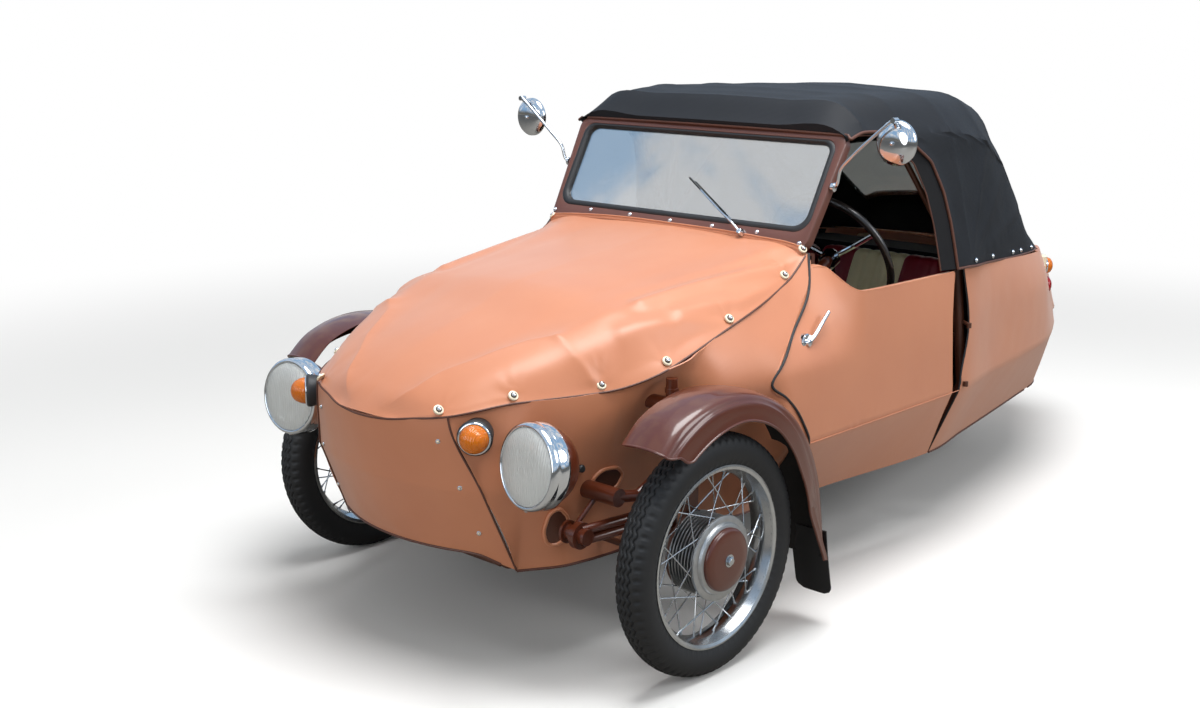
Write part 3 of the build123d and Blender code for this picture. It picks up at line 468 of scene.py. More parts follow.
    def mirrored(self):
        """The same stock on the other side of the car."""
        other = Stock()
        other.points = [[-x, s, z] for x, s, z in self.points]
        other.faces = list(self.faces)
        other.finish_of = list(self.finish_of)
        return other

    def with_mirror(self):
        twin = self.mirrored()
        start = len(self.points)
        self.points += twin.points
        self.faces += [tuple(start + i for i in f) for f in twin.faces]
        self.finish_of += twin.finish_of
        return self

    def piece(self, name, finishes, body, slot, replaces=(), crisp=38, weld=0.0):
        """Makes the object and puts it on its body; the slot it is given is not used."""
        finishes = finishes if isinstance(finishes, (list, tuple)) else [finishes]
        mesh = bpy.data.meshes.new(name)
        mesh.from_pydata([tuple(p) for p in metres(self.points)], [], self.faces)
        for finish in finishes:
            mesh.materials.append(finish)
        mesh.polygons.foreach_set("material_index", self.finish_of)
        work = bmesh.new()
        work.from_mesh(mesh)
        if weld:
            bmesh.ops.remove_doubles(work, verts=work.verts, dist=weld * MM)
        bmesh.ops.dissolve_degenerate(work, edges=work.edges, dist=1e-7)
        bmesh.ops.recalc_face_normals(work, faces=work.faces)
        work.to_mesh(mesh)
        work.free()
        mesh.polygons.foreach_set("use_smooth", [True] * len(mesh.polygons))
        mesh.set_sharp_from_angle(angle=math.radians(crisp))
        mesh.update()
        obj = bpy.data.objects.new(name, mesh)
        bpy.context.scene.collection.objects.link(obj)
        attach(obj, body)
        if replaces:
            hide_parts(*replaces)
        return obj


def outward(grid, inside=None):
    """Unit normals of a grid of points, away from the point inside."""
    du = np.gradient(grid, axis=0)
    dv = np.gradient(grid, axis=1)
    n = np.cross(du, dv)
    size = np.linalg.norm(n, axis=2, keepdims=True)
    middle = n.reshape(-1, 3).sum(0)
    middle /= max(np.linalg.norm(middle), 1e-9)
    n = np.where(size > 1e-6, n / np.maximum(size, 1e-6), middle)
    if inside is not None and ((grid - np.asarray(inside, float)) * n).sum() < 0:
        n = -n
    return n


def border_fade(n, m, share=0.12):
    """Weights over a grid that fall to nothing at its edges."""
    u = np.linspace(0, 1, n)[:, None]
    v = np.linspace(0, 1, m)[None, :]
    return ease(np.minimum(np.minimum(u, 1 - u), np.minimum(v, 1 - v)) / share)


# Body skin: half widths at five heights

# The nose's rows give corner x, corner s and tip s at each height. The sides' rows give s, then one half
# width a height. The tail's rows give half width and s at its start, the same where it turns round, and the
# s of its tip.
LEVELS = (250, 455, 632, 800, 905)
NOSE = ((313, -309, -405), (300, -399, -475), (238, -443, -500), (225, -435, -485), (215, -425, -475))
SIDES = (
    (-200, 372, 392, 405, 370, 330),
    (-100, 388, 400, 432, 430, 390),
    (0, 395, 405, 445, 560, 500),
    (150, 405, 425, 550, 483, 430),
    (280, 425, 450, 572, 495, 430),
    (345, 440, 600, 588, 493, 425),
    (490, 452, 600, 592, 500, 423),
    (580, 458, 600, 592, 530, 461),
    (686, 463, 600, 592, 575, 560),
    (1170, 503, 597, 592, 576, 560),
    (1410, 462, 552, 548, 530, 515),
    (1930, 368, 465, 450, 398, 385),
)
TAIL = (
    (330, 2120, 200, 2330, 2440),
    (395, 2120, 250, 2400, 2600),
    (375, 2090, 232, 2350, 2520),
    (330, 2060, 200, 2250, 2350),
    (320, 2040, 195, 2230, 2330),
)
# Lines in side view as (s, z): the bonnet's seam, the waist behind the door, the deck down to the tip
SEAM = ((-500, 606), (-443, 632), (-320, 656), (-130, 663), (12, 705), (228, 774), (490, 841), (581, 900))
WAIST = ((1178, 800), (1942, 737))
DECK = ((1942, 737), (2200, 715), (2420, 640), (2560, 520), (2620, 440))
HEM_Z = LEVELS[0]
# The door's front edge runs round the fender on this arc
FENDER_S, FENDER_Z, DOOR_EDGE_R = 84, 325, 363


def across_levels(columns, z):
    """Value at height z from one value a level, straight below the second level and curved above it."""
    z = np.clip(z, LEVELS[0], LEVELS[-1])
    low = columns[0] + (columns[1] - columns[0]) * (z - LEVELS[0]) / (LEVELS[1] - LEVELS[0])
    high = smooth(LEVELS[1:], columns[1:], np.maximum(z, LEVELS[1]))
    return np.where(z < LEVELS[1], low, high)


def half_width(s, z):
    """Half width of the skin at places (s, z)."""
    s, z = np.broadcast_arrays(np.asarray(s, float), np.asarray(z, float))
    shape, s, z = s.shape, s.ravel(), z.ravel()
    columns = []
    for i in range(len(LEVELS)):
        knots = [NOSE[i][1]] + [row[0] for row in SIDES] + [TAIL[i][1], TAIL[i][3]]
        values = [NOSE[i][0]] + [row[i + 1] for row in SIDES] + [TAIL[i][0], TAIL[i][2]]
        wide = smooth(knots, values, s)
        round_x, round_s, tip = TAIL[i][2], TAIL[i][3], TAIL[i][4]
        reach = tip - round_s
        radius = (round_x**2 + reach**2) / (2 * reach)
        arc = np.sqrt(np.maximum(radius**2 - (np.minimum(s, tip) - (tip - radius)) ** 2, 0))
        columns.append(np.where(s > round_s, np.minimum(arc, round_x), wide))
    return across_levels(np.array(columns), z).reshape(shape)


def along_line(line, s):
    """Value along a line of (place, value) points, smooth between them."""
    return smooth([p[0] for p in line], [p[1] for p in line], s).reshape(np.shape(s))


def seam_z(s):
    return along_line(SEAM, np.asarray(s, float))


# The door's front edge over the fender, read off the photograph through the fitted camera
DOOR_RISE_Z = (622, 649, 678, 708, 739, 778, 821, 872)
DOOR_RISE_S = (292, 305, 338, 381, 428, 486, 538, 581)


def door_front_s(z):
    """The door's front edge: an arc round the fender, then a rise to its ear."""
    z = np.asarray(z, float)
    arc = FENDER_S + np.sqrt(np.maximum(DOOR_EDGE_R**2 - (z - FENDER_Z) ** 2, 0))
    rise = np.interp(z, DOOR_RISE_Z, DOOR_RISE_S)
    return np.where(z < DOOR_RISE_Z[0], arc, rise)


def patch(low_s, high_s, low_z, high_z, n, m, rounds=30, spread=None):
    """Grid of (s, z) between two side edges given by height and two long edges given by s."""
    u = np.linspace(0, 1, n)[:, None] if spread is None else spread[:, None]
    v = np.linspace(0, 1, m)[None, :]
    z = 250 + 400 * v + 0 * u
    for _ in range(rounds):
        s = low_s(z) + (high_s(z) - low_s(z)) * u
        z = (z + low_z(s) + (high_z(s) - low_z(s)) * v) / 2
    return s, z


def skin_grid(s, z):
    return np.stack([half_width(s, z), s, z], axis=2)


def worked(grid, inside, ripples, folds=None, fade=0.1):
    """The grid pushed in and out by ripples (size, height, seed, stretch) and by its own folds."""
    n, m, _ = grid.shape
    push = np.zeros((n, m))
    for size, height, seed, stretch in ripples:
        push += height * ripple(grid, size, seed, stretch).reshape(n, m)
    if folds is not None:
        push += folds(grid)
    return grid + outward(grid, inside) * (push * border_fade(n, m, fade))[:, :, None]


SKIN_T = 3.0
HEART = (0, 900, 500)


def nose_level(column, z):
    """One column of the nose's table (corner x, corner s or tip s) at each height."""
    columns = np.repeat(np.array([[row[column]] for row in NOSE], float), np.size(z), 1)
    return across_levels(columns, np.ravel(z)).reshape(np.shape(z))


# Top of the nose at its tip, its hem there, and how far the hem dips at the corners
NOSE_TOP_Z, NOSE_HEM_Z, NOSE_HEM_DIP, NOSE_DIP_FROM = 606, 290, 38, 0.75


def nose_grid(n=64, m=40):
    """Nose between its two seams: an arc in plan at each height."""
    u = np.linspace(-1, 1, n)[:, None]
    v = np.linspace(0, 1, m)[None, :]
    z = NOSE_HEM_Z + 300 * v + 0 * u
    corner_z = seam_z(NOSE[2][1])
    for _ in range(8):
        corner_x, corner_s, tip_s = (nose_level(column, z) for column in range(3))
        depth = corner_s - tip_s
        radius = (corner_x**2 + depth**2) / (2 * depth)
        angle = np.arcsin(np.clip(corner_x / radius, -1, 1)) * u
        x = radius * np.sin(angle)
        s = tip_s + radius * (1 - np.cos(angle))
        top = NOSE_TOP_Z + (corner_z - NOSE_TOP_Z) * np.abs(u) ** 1.6
        low = NOSE_HEM_Z - NOSE_HEM_DIP * np.maximum(np.abs(u) - NOSE_DIP_FROM, 0) / (1 - NOSE_DIP_FROM)
        z = low + (top - low) * v
    return np.stack([x, s, z], axis=2)


def nose_corner_s(z):
    return nose_level(1, z)


def level(value):
    """An edge for patch() that keeps one value."""
    return lambda at: 0 * at + value


def front_side_grid(n=90, m=40):
    spread = np.linspace(0, 1, n) ** 1.15
    return skin_grid(*patch(nose_corner_s, door_front_s, level(HEM_Z), seam_z, n, m, spread=spread))


# The door's top in side view, from its ear down to the sill beside the seat
DOOR_TOP = (
    (581, 868), (592, 873), (606, 865), (625, 838), (645, 816), (672, 804), (700, 801), (900, 797),
    (1140, 795),
)
# Rear edge of the door and front edge of the quarter behind it, as (z, s)
DOOR_REAR = ((250, 1156), (455, 1116), (650, 1108), (795, 1128))
QUARTER_FRONT = ((200, 1163), (250, 1163), (455, 1160), (640, 1205), (800, 1184))


def door_top_z(s):
    return along_line(DOOR_TOP, s)


def door_rear_s(z):
    return along_line(DOOR_REAR, z)


def door_grid(n=80, m=46):
    return skin_grid(*patch(door_front_s, door_rear_s, level(HEM_Z), door_top_z, n, m))


def quarter_front_s(z):
    return along_line(QUARTER_FRONT, z)


WAIST_LIFT = 3


def rear_top_z(s):
    line = [(at, z + WAIST_LIFT) for at, z in WAIST] + list(DECK[1:])
    return np.interp(s, [p[0] for p in line], [p[1] for p in line])


TAIL_SPLIT = 2060


def quarter_grid(n=64, m=40):
    return skin_grid(*patch(quarter_front_s, level(TAIL_SPLIT), level(HEM_Z), rear_top_z, n, m))


def tail_end_s(z):
    """Where the tail's two sides meet, half a millimetre short of the tip."""
    columns = np.repeat(np.array([[row[4]] for row in TAIL], float), np.size(z), 1)
    return across_levels(columns, np.ravel(z)).reshape(np.shape(z)) - 0.5


def tail_grid(n=60, m=30):
    """One side of the tail; over its last part it closes to the middle of the car."""
    spread = np.sin(np.linspace(0, math.pi / 2, n))
    closing = 0.05
    grid = skin_grid(*patch(level(TAIL_SPLIT), tail_end_s, level(HEM_Z), rear_top_z, n, m, spread=spread))
    grid[..., 0] *= np.sqrt(np.clip((1 - spread) / closing, 0, 1))[:, None]
    return grid


# Skins

SIDES_OF_CAR = (("left", 1), ("right", -1))
FAR_SIDE = np.array([-1, 1, 1])


def on_side(stock, turn):
    """The stock as made for the driver's side, or mirrored where turn is -1."""
    return stock if turn > 0 else stock.mirrored()


def vinyl_skin(name, grid, node, turn=1, body="body", thickness=SKIN_T, inside=HEART):
    """Vinyl cloth drawn over the frame tubes, in place of one node of the CAD."""
    stock = on_side(Stock().sheet(grid, thickness, inside), turn)
    return stretched(stock.piece(name, VINYL, body, "skin_vinyl", [node]))


def nose_folds(grid):
    """Vertical slack down the nose, which fades out under its top seam."""
    x, z = grid[..., 0], grid[..., 2]
    slack = 1.6 * hump(x, -120, 50) + 1.2 * hump(x, 40, 60) - 1.2 * hump(x, 150, 40)
    return slack * ease((600 - z) / 250)


# Each skin's ripples are (size, height, seed, stretch), broad slack first and finer unevenness after it
nose = worked(nose_grid(), HEART, ((150, 2.5, 3.1, (1, 1, 2)), (60, 0.8, 7.7, (1, 1, 1.6))), nose_folds)
front_side = worked(front_side_grid(), HEART, ((140, 2.2, 1.3, (1, 2, 1)), (50, 0.6, 5.1, (1, 1.5, 1))))
quarter = worked(quarter_grid(), HEART, ((180, 2.5, 8.2, (1, 1.5, 1)), (60, 0.7, 2.9, (1, 1, 1))))
door_skin = worked(door_grid(), HEART, ((220, 1.6, 4.4, (1, 1.6, 1)), (70, 0.4, 9.2, (1, 1, 1))))
tail_side = worked(tail_grid(), HEART, ((150, 2.0, 6.2, (1, 1, 1)),))

DOOR_T = 18
vinyl_skin("nose_skin", nose, "nose_panel")
for side, turn in SIDES_OF_CAR:
    vinyl_skin("front_side_skin_" + side, front_side, "front_side_" + side, turn)
    vinyl_skin("quarter_skin_" + side, quarter, "quarter_" + side, turn)
    door = Stock().sheet(door_skin, DOOR_T, finish=0, back=1, rim=0, shift=(-DOOR_T, 0, 0))
    on_side(door, turn).piece(
        "door_skin_" + side, [VINYL, LINING], "door_" + side, "skin_vinyl", ["door_" + side]
    )

# Tail with the deck round the engine lid
LID_HALF, LID_FRONT, LID_BACK, LID_GAP = 285, 2040, 2588, 4
DECK_FRONT, DECK_CROWN = 1946, 10


def deck_half(s):
    return half_width(s, rear_top_z(s))


def deck_edge(s):
    """Where the deck meets the side skins, a millimetre inside them."""
    return deck_half(s) - 1


def lid_reach(s):
    """Half width of the lid, which narrows with the tail."""
    return np.minimum(LID_HALF, np.maximum(deck_half(s) - 2, 4))


def deck_grid(start, end, inner, outer, n, m):
    """Deck between two widths; inner and outer give x at each s."""
    s = np.linspace(start, end, n)[:, None]
    v = np.linspace(0, 1, m)[None, :]
    x = inner(s) + (outer(s) - inner(s)) * v
    z = rear_top_z(s) + DECK_CROWN * (1 - (x / np.maximum(deck_half(s), 1)) ** 2)
    return np.stack([x, s + 0 * x, z], axis=2)


# A strip of deck runs beside the lid on each side, as far back as the tail is wide enough for it
strip_s = np.arange(DECK_FRONT, LID_BACK)
strip_end = float(strip_s[np.argmin(deck_half(strip_s) > LID_HALF + 2 * LID_GAP)])
strip = deck_grid(DECK_FRONT, strip_end, level(LID_HALF + LID_GAP), deck_edge, 30, 6)
front_deck = deck_grid(DECK_FRONT, LID_FRONT - LID_GAP, level(-LID_HALF), level(LID_HALF), 8, 20)
tail = Stock().sheet(tail_side, SKIN_T, HEART)
tail.with_mirror()
for part in (strip, strip * FAR_SIDE, front_deck):
    tail.sheet(part, SKIN_T, HEART)
stretched(tail.piece("tail_skin", VINYL, "body", "skin_vinyl", ["tail_panel"]))

lid = deck_grid(LID_FRONT, LID_BACK, lambda s: -lid_reach(s), lid_reach, 48, 30)
lid = worked(lid, HEART, ((160, 2.0, 2.2, (1, 1, 1)),))
vinyl_skin("engine_lid_skin", lid, "engine_lid", body="engine_lid")

# Bonnet: s, edge x, edge z, shoulder x, shoulder z, crown z
BONNET = (
    (-492, 95, 610, 60, 610, 611),
    (-443, 238, 632, 170, 655, 668),
    (-320, 330, 656, 290, 702, 738),
    (-130, 425, 663, 370, 757, 802),
    (12, 495, 705, 410, 802, 850),
    (228, 505, 774, 440, 832, 875),
    (490, 470, 841, 440, 872, 908),
    (584, 461, 900, 436, 908, 926),
)
BONNET_T, BONNET_HEART = 4.0, (0, 0, 300)
# A row's point between shoulder and crown: its share of the shoulder's x, and of the rise to the crown
HAUNCH_X, HAUNCH_RISE = 0.55, 0.72
# The tip is bent back in plan like the nose's arc: radius, half width, and how far back the bend fades out
TIP_ARC_R, TIP_HALF, TIP_FADE = 525, 95, 60
TIP_ARC_LIMIT, TIP_ARC_REACH = 240, 8.7


def bonnet_grid(n=170, m=150):
    """Cover from its tip to the screen, each row an even curve over the crown."""
    first = BONNET[0][0]
    s = np.linspace(first, BONNET[-1][0], n)
    columns = [smooth([r[0] for r in BONNET], [r[i] for r in BONNET], s) for i in range(1, 6)]
    rows = []
    for here, ex, ez, hx, hz, cz in zip(s, *columns):
        haunch = (-hx * HAUNCH_X, here, hz + (cz - hz) * HAUNCH_RISE)
        half = [(-ex, here, ez), (-hx, here, hz), haunch, (0, here, cz)]
        rows.append(through(half + [(-x, y, z) for x, y, z in half[-2::-1]], m))
    grid = np.array(rows)
    x = grid[..., 0]
    reach = TIP_ARC_R - np.sqrt(TIP_ARC_R**2 - np.clip(x, -TIP_ARC_LIMIT, TIP_ARC_LIMIT) ** 2)
    share = ease(1 - (grid[..., 1] - first) / TIP_FADE) * (np.abs(x) < TIP_HALF)
    grid[..., 1] += (reach - TIP_ARC_REACH) * share
    return grid


def away_from(grid, line):
    """Distance in plan from each place of a grid to a line of (x, s) points, the same on both sides."""
    p = np.stack([np.abs(grid[..., 0]), grid[..., 1]], axis=-1)
    nearest = np.full(grid.shape[:2], 1e9)
    for a, b in zip(np.array(line[:-1], float), np.array(line[1:], float)):
        t = np.clip(((p - a) @ (b - a)) / ((b - a) @ (b - a)), 0, 1)
        nearest = np.minimum(nearest, np.linalg.norm(p - a - t[..., None] * (b - a), axis=-1))
    return nearest


# Sharp creases where the cloth breaks over the frame's front tubes: height, reach and line in plan (x, s)
FRONT_TUBE = (
    (60, -478), (83, -470), (123, -434), (151, -378), (197, -317), (225, -260), (257, -205), (304, -160),
)
SIDE_TUBE = ((304, -160), (361, -169), (389, -155), (412, -146))
CREASES = ((9.0, 30, FRONT_TUBE), (6.0, 22, SIDE_TUBE))
# Soft pull folds behind them: height and line in plan
PULL_FOLDS = (
    (5.0, ((462, 577), (419, 417), (379, 256), (355, 64))),
    (4.5, ((470, 489), (473, 297), (433, 119))),
    (4.0, ((504, 226), (451, 98), (401, -45))),
    (0.8, ((304, -150), (330, -40), (352, 60))),
)
FOLD_WIDTH, DIP_AT, DIP_WIDTH, DIP_SHARE = 17, 38, 22, 0.55
# The cover's spine, a low ridge down the middle
SPINE, SPINE_HEIGHT, SPINE_REACH = ((0, -440), (0, 560)), 2.0, 60
BUTTON_S = (-450, -320, -133, 12, 227, 491, 578)
PUCKERS, PUCKER_HEIGHT, PUCKER_REACH = 7, 1.5, 26


def bonnet_edge_at(s):
    k = [row[0] for row in BONNET]
    x, z = (float(smooth(k, [row[i] for row in BONNET], s)[0]) for i in (1, 2))
    return x, z


def bonnet_folds(grid):
    """Creases over the tubes, pull folds along the sides and puckers at the buttons."""
    push = sum(height * np.exp(-away_from(grid, line) / reach) for height, reach, line in CREASES)
    for height, line in PULL_FOLDS:
        d = away_from(grid, line)
        push += height * (hump(d, 0, FOLD_WIDTH) - DIP_SHARE * hump(d, DIP_AT, DIP_WIDTH))
    x, s = np.abs(grid[..., 0]), grid[..., 1]
    push += SPINE_HEIGHT * np.exp(-away_from(grid, SPINE) / SPINE_REACH) * ease((s + 420) / 200)
    for i, button_s in enumerate(BUTTON_S):
        edge_x, _ = bonnet_edge_at(button_s)
        dx, ds = x - (edge_x - 10), s - button_s
        r = np.hypot(dx, ds)
        rays = np.cos(PUCKERS * np.arctan2(ds, dx) + i * 1.7)
        push += PUCKER_HEIGHT * rays * np.exp(-r / PUCKER_REACH) * ease(r / 14) - 1.6 * hump(r, 0, 16)
    return push


BONNET_RIPPLES = ((230, 2.6, 1.7, (1, 1.8, 1)), (70, 0.7, 4.9, (1, 1.6, 1)))
bonnet = worked(bonnet_grid(), BONNET_HEART, BONNET_RIPPLES, bonnet_folds, fade=0.035)
vinyl_skin("bonnet_skin", bonnet, "bonnet_cover", thickness=BONNET_T, inside=BONNET_HEART)

# Soft top: s, crown z, shoulder x, shoulder z, side x, side z
HOOD = (
    (722, 1208, 440, 1206, 486, 1196),
    (795, 1266, 415, 1250, 482, 1210),
    (960, 1289, 430, 1264, 496, 1200),
    (1178, 1291, 425, 1262, 510, 1190),
    (1420, 1284, 385, 1250, 490, 1150),
    (1600, 1250, 330, 1215, 445, 1080),
    (1760, 1130, 300, 1085, 410, 970),
    (1900, 975, 280, 935, 370, 860),
    (2010, 850, 250, 825, 330, 790),
)
HOOD_FRONT, HOOD_BACK, OPEN_TOP_S = 722, 2006, 860
HOOD_T, HOOD_HEART = 3.0, (0, 1300, 900)
# Down each row, v is 0 on the crown, RAIL at the edge of the roof and 1 at the hem
RAIL, ROOF_STEPS, RAIL_DROP = 0.5, 40, 14
# The hem lies this far out from the skin at the waist; over the door it is level
HEM_OUT, HEM_LEVEL, HEM_TO_S, DOOR_HEM_Z, SIDE_BULGE = 5, 795, 2055, 804, 6
# Rear edge of the opening over the door, as (z, s)
OPENING = ((760, 1140), (930, 1118), (1020, 1098), (1105, 1060), (1160, 985), (1184, OPEN_TOP_S))


def hood_table():
    """The roof's line across the car, and the hem's place, at each whole millimetre of s."""
    s = np.arange(HOOD_FRONT, HOOD_BACK + 2.0)
    columns = [smooth([r[0] for r in HOOD], [r[i] for r in HOOD], s) for i in range(1, 6)]
    rows = []
    for cz, hx, hz, sx, sz in zip(*columns):
        haunch = (hx * HAUNCH_X, hz + (cz - hz) * HAUNCH_RISE)
        rows.append(through([(0, cz), haunch, (hx, hz), (sx, sz - RAIL_DROP)], ROOF_STEPS + 1))
    foot_x = half_width(np.minimum(s, HEM_TO_S), HEM_LEVEL) + HEM_OUT
    foot_z = np.where(s > WAIST[0][0], rear_top_z(s) + 1, DOOR_HEM_Z)
    return np.array(rows), np.stack([foot_x, foot_z], axis=1)


HOOD_ROWS, HOOD_HEM = hood_table()


def hood_at(s, v):
    """Point of the soft top at s and at v down its row."""
    place = float(np.clip(s - HOOD_FRONT, 0, len(HOOD_ROWS) - 1.001))
    i = int(place)
    part = place - i
    roof_row = HOOD_ROWS[i] * (1 - part) + HOOD_ROWS[i + 1] * part
    if v <= RAIL:
        x, z = roof_row[int(round(v / RAIL * ROOF_STEPS))]
        return x, s, z
    t = (v - RAIL) / (1 - RAIL)
    rail_x, rail_z = roof_row[-1]
    foot_x, foot_z = HOOD_HEM[i] * (1 - part) + HOOD_HEM[i + 1] * part
    bulge = SIDE_BULGE * math.sin(math.pi * t)
    return rail_x + (foot_x - rail_x) * t + bulge, s, rail_z + (foot_z - rail_z) * t


def opening_rear_s(z):
    return float(np.interp(z, [p[0] for p in OPENING], [p[1] for p in OPENING]))


def hood_grids(n=90, m=24, front=16):
    """Half of the top: rows over the roof from the screen, and rows down the side behind the opening."""
    over, down = np.linspace(0, RAIL, m), np.linspace(RAIL, 1, m)
    roof = [[hood_at(s, v) for v in over] for s in np.linspace(HOOD_FRONT, OPEN_TOP_S, front)[:-1]]
    side = []
    for t in np.linspace(0, 1, n):
        start = OPEN_TOP_S + (HOOD_BACK - OPEN_TOP_S) * t
        roof.append([hood_at(start, v) for v in over])
        row = []
        for v in down:
            s = start
            for _ in range(6):
                z = hood_at(s, v)[2]
                lead = opening_rear_s(min(z, OPENING[-1][0])) if v > RAIL else OPEN_TOP_S
                s = lead + (HOOD_BACK - lead) * t
            row.append(hood_at(s, v))
        side.append(row)
    return np.array(roof), np.array(side)


BOWS, BOW_LIFT, BOW_REACH, ROOF_SAG = (960, 1178, 1420, 1600), 5.0, 24, 3.0
# In side view the bows fan out from the pivot on the door post: the cloth's lift and each upper end (s, z)
PIVOT = np.array([1222.0, 800.0])
FAN = ((7.0, (1178, 1186)), (8.0, (1420, 1130)), (6.0, (1600, 1040)), (5.0, (1790, 905)))
FAN_REACH, SIDE_SAG = 20, 2.2


def hood_sag(grid):
    """The cloth dips between the bows, over the roof and down the sides, where the bows fan out."""
    s, z = grid[..., 1], grid[..., 2]
    roof_share = ease((z - 1090) / 90)
    push = (BOW_LIFT * sum(np.exp(-np.abs(s - bow) / BOW_REACH) for bow in BOWS) - ROOF_SAG) * roof_share
    p = np.stack([s, z], axis=-1) - PIVOT
    reach = np.linalg.norm(p, axis=-1)
    for lift, end in FAN:
        line = np.array(end) - PIVOT
        line /= np.linalg.norm(line)
        d = np.abs(p[..., 0] * line[1] - p[..., 1] * line[0]) / np.maximum(reach / 260, 0.25)
        forward = (p @ line) > 0
        push += (lift * np.exp(-d / FAN_REACH) - SIDE_SAG) * forward * ease(reach / 160) * (1 - roof_share)
    return push


# The rear hem hangs to the deck: its s there, its rise in the middle, how wide it is and its slack
FOOT_S, FOOT_RISE, FOOT_HALF, FOOT_SLACK = 2017, 12, 330, 7
# The valance's line on the screen's head as (s, z), and how that bows in the middle
HEAD_LINE, HEAD_BOW, HEAD_HALF, HEAD_NARROW = np.array([729, 1192]), np.array([-2, 3]), 486, 0.975
# The roof stands up in a ridge over the screen's head
RIDGE_S, RIDGE_HEIGHT, RIDGE_REACH, RIDGE_HALF = 795, 9.0, 18, 470


def hood_cloth():
    """Both halves as one cloth: the part over the opening with its valance, and the part behind it with
    its rear hem. The third value is the line on the screen's head."""
    roof, side = hood_grids()
    lead = len(roof) - len(side)
    half = np.concatenate([roof[lead:], side[:, 1:]], axis=1)
    aft = np.concatenate([half[:, ::-1], (half * FAR_SIDE)[:, 1:]], axis=1)
    half = roof[: lead + 1]
    fore = np.concatenate([half[:, ::-1], (half * FAR_SIDE)[:, 1:]], axis=1)

    push = hood_sag(aft)
    for size, height, seed in ((170, 2.6, 2.0), (60, 0.8, 5.0)):
        push += height * ripple(aft, size, seed).reshape(push.shape)
    row = np.arange(len(aft))
    steady = ease(np.minimum(row / 5, row[::-1] / 8))
    aft = aft + outward(aft, HOOD_HEART) * (push * steady[:, None])[:, :, None]

    last = aft[-1]
    foot = last.copy()
    foot[:, 1] = FOOT_S
    foot[:, 2] = rear_top_z(foot[:, 1]) + FOOT_RISE * (1 - (foot[:, 0] / FOOT_HALF) ** 2)
    skirt = []
    for v in np.linspace(0, 1, 10)[1:]:
        skirt.append(last + (foot - last) * v + [0, FOOT_SLACK * math.sin(math.pi * v), 0])

    head = fore[0] * [HEAD_NARROW, 1, 1]
    head[:, 1:] = HEAD_LINE + HEAD_BOW * (1 - (fore[0, :, :1] / HEAD_HALF) ** 2)
    ridge = RIDGE_HEIGHT * np.exp(-np.abs(fore[..., 1] - RIDGE_S) / RIDGE_REACH)
    ridge = ridge * (np.abs(fore[..., 0]) < RIDGE_HALF)
    fore = fore + outward(fore, HOOD_HEART) * ridge[:, :, None]
    valance = [head + (fore[0] - head) * v for v in np.linspace(0, 1, 5)[:-1]]
    return np.concatenate([np.array(valance), fore]), np.concatenate([aft, np.array(skirt)]), head


fore, full, head_line = hood_cloth()
# The rear window lies between two rows of the cloth, and this many columns either side of the middle
WINDOW_ROWS, WINDOW_COLUMNS = (73, 86), 17
crown_column = full.shape[1] // 2
top_row, low_row = WINDOW_ROWS
left_column, right_column = crown_column - WINDOW_COLUMNS, crown_column + WINDOW_COLUMNS
hood = Stock()
beside = full[top_row : low_row + 1]
beside_window = (beside[:, : left_column + 1], beside[:, right_column:])
for part in (fore, full[: top_row + 1], full[low_row:], *beside_window):
    hood.sheet(part, HOOD_T, HOOD_HEART, back=1)
hood_canvas = hood.piece("hood_canvas", [CANVAS, LINING], "body", "hood_fabric", ["soft_top"])
window_lap = (slice(top_row - 1, low_row + 2), slice(left_column - 1, right_column + 2))
window = full[window_lap] - outward(full, HOOD_HEART)[window_lap] * (HOOD_T + 0.2)
hood_window = Stock().sheet(window, 1.0, HOOD_HEART)
hood_window = hood_window.piece("hood_window", CLEAR_SHEET, "body", "clear_sheet", ["rear_pane"])
stretched(hood_canvas)

# Piping and bindings
PIPE_R, HEM_R, DOOR_PIPE_R, CREASE_R, SEAL_SHADE_R = 2.6, 3.5, 2.0, 1.2, 3.4


def seam_line(turn, lift=1.5):
    """The bonnet's side seam, lifted a little off it."""
    k = [row[0] for row in BONNET]
    s = np.linspace(BONNET[0][0], BONNET[-1][0], 60)
    x = smooth(k, [row[1] for row in BONNET], s) + lift
    z = smooth(k, [row[2] for row in BONNET], s) - 1
    return np.stack([x * turn, s, z], axis=1)


tip = [(-60, -496, 605), (0, -502, 604), (60, -496, 605)]
bonnet_edge = np.vstack([seam_line(-1)[::-1], tip, seam_line(1)])
trim = Stock().rod(through(bonnet_edge, 400), PIPE_R, 8)
for turn in (1, -1):
    trim.rod(through(nose[-1][::3] * [turn, 1, 1] + [turn * 1.5, -1, 0], 120), PIPE_R, 8)
trim.piece("body_piping", BINDING, "body", "brown_paint")

hem = Stock()
for turn in (1, -1):
    for skin in (front_side, quarter):
        hem.rod(through(skin[:, 0][::4] * [turn, 1, 1], 160), HEM_R, 8)
hem.rod(through(nose[:, 0][::4], 120), HEM_R, 8)
tail_hem = tail_side[:, 0]
hem.rod(through(np.vstack([tail_hem[::4], (tail_hem * FAR_SIDE)[::-4]]), 200), HEM_R, 8)
hem.piece("hem_piping", BINDING, "body", "brown_paint")

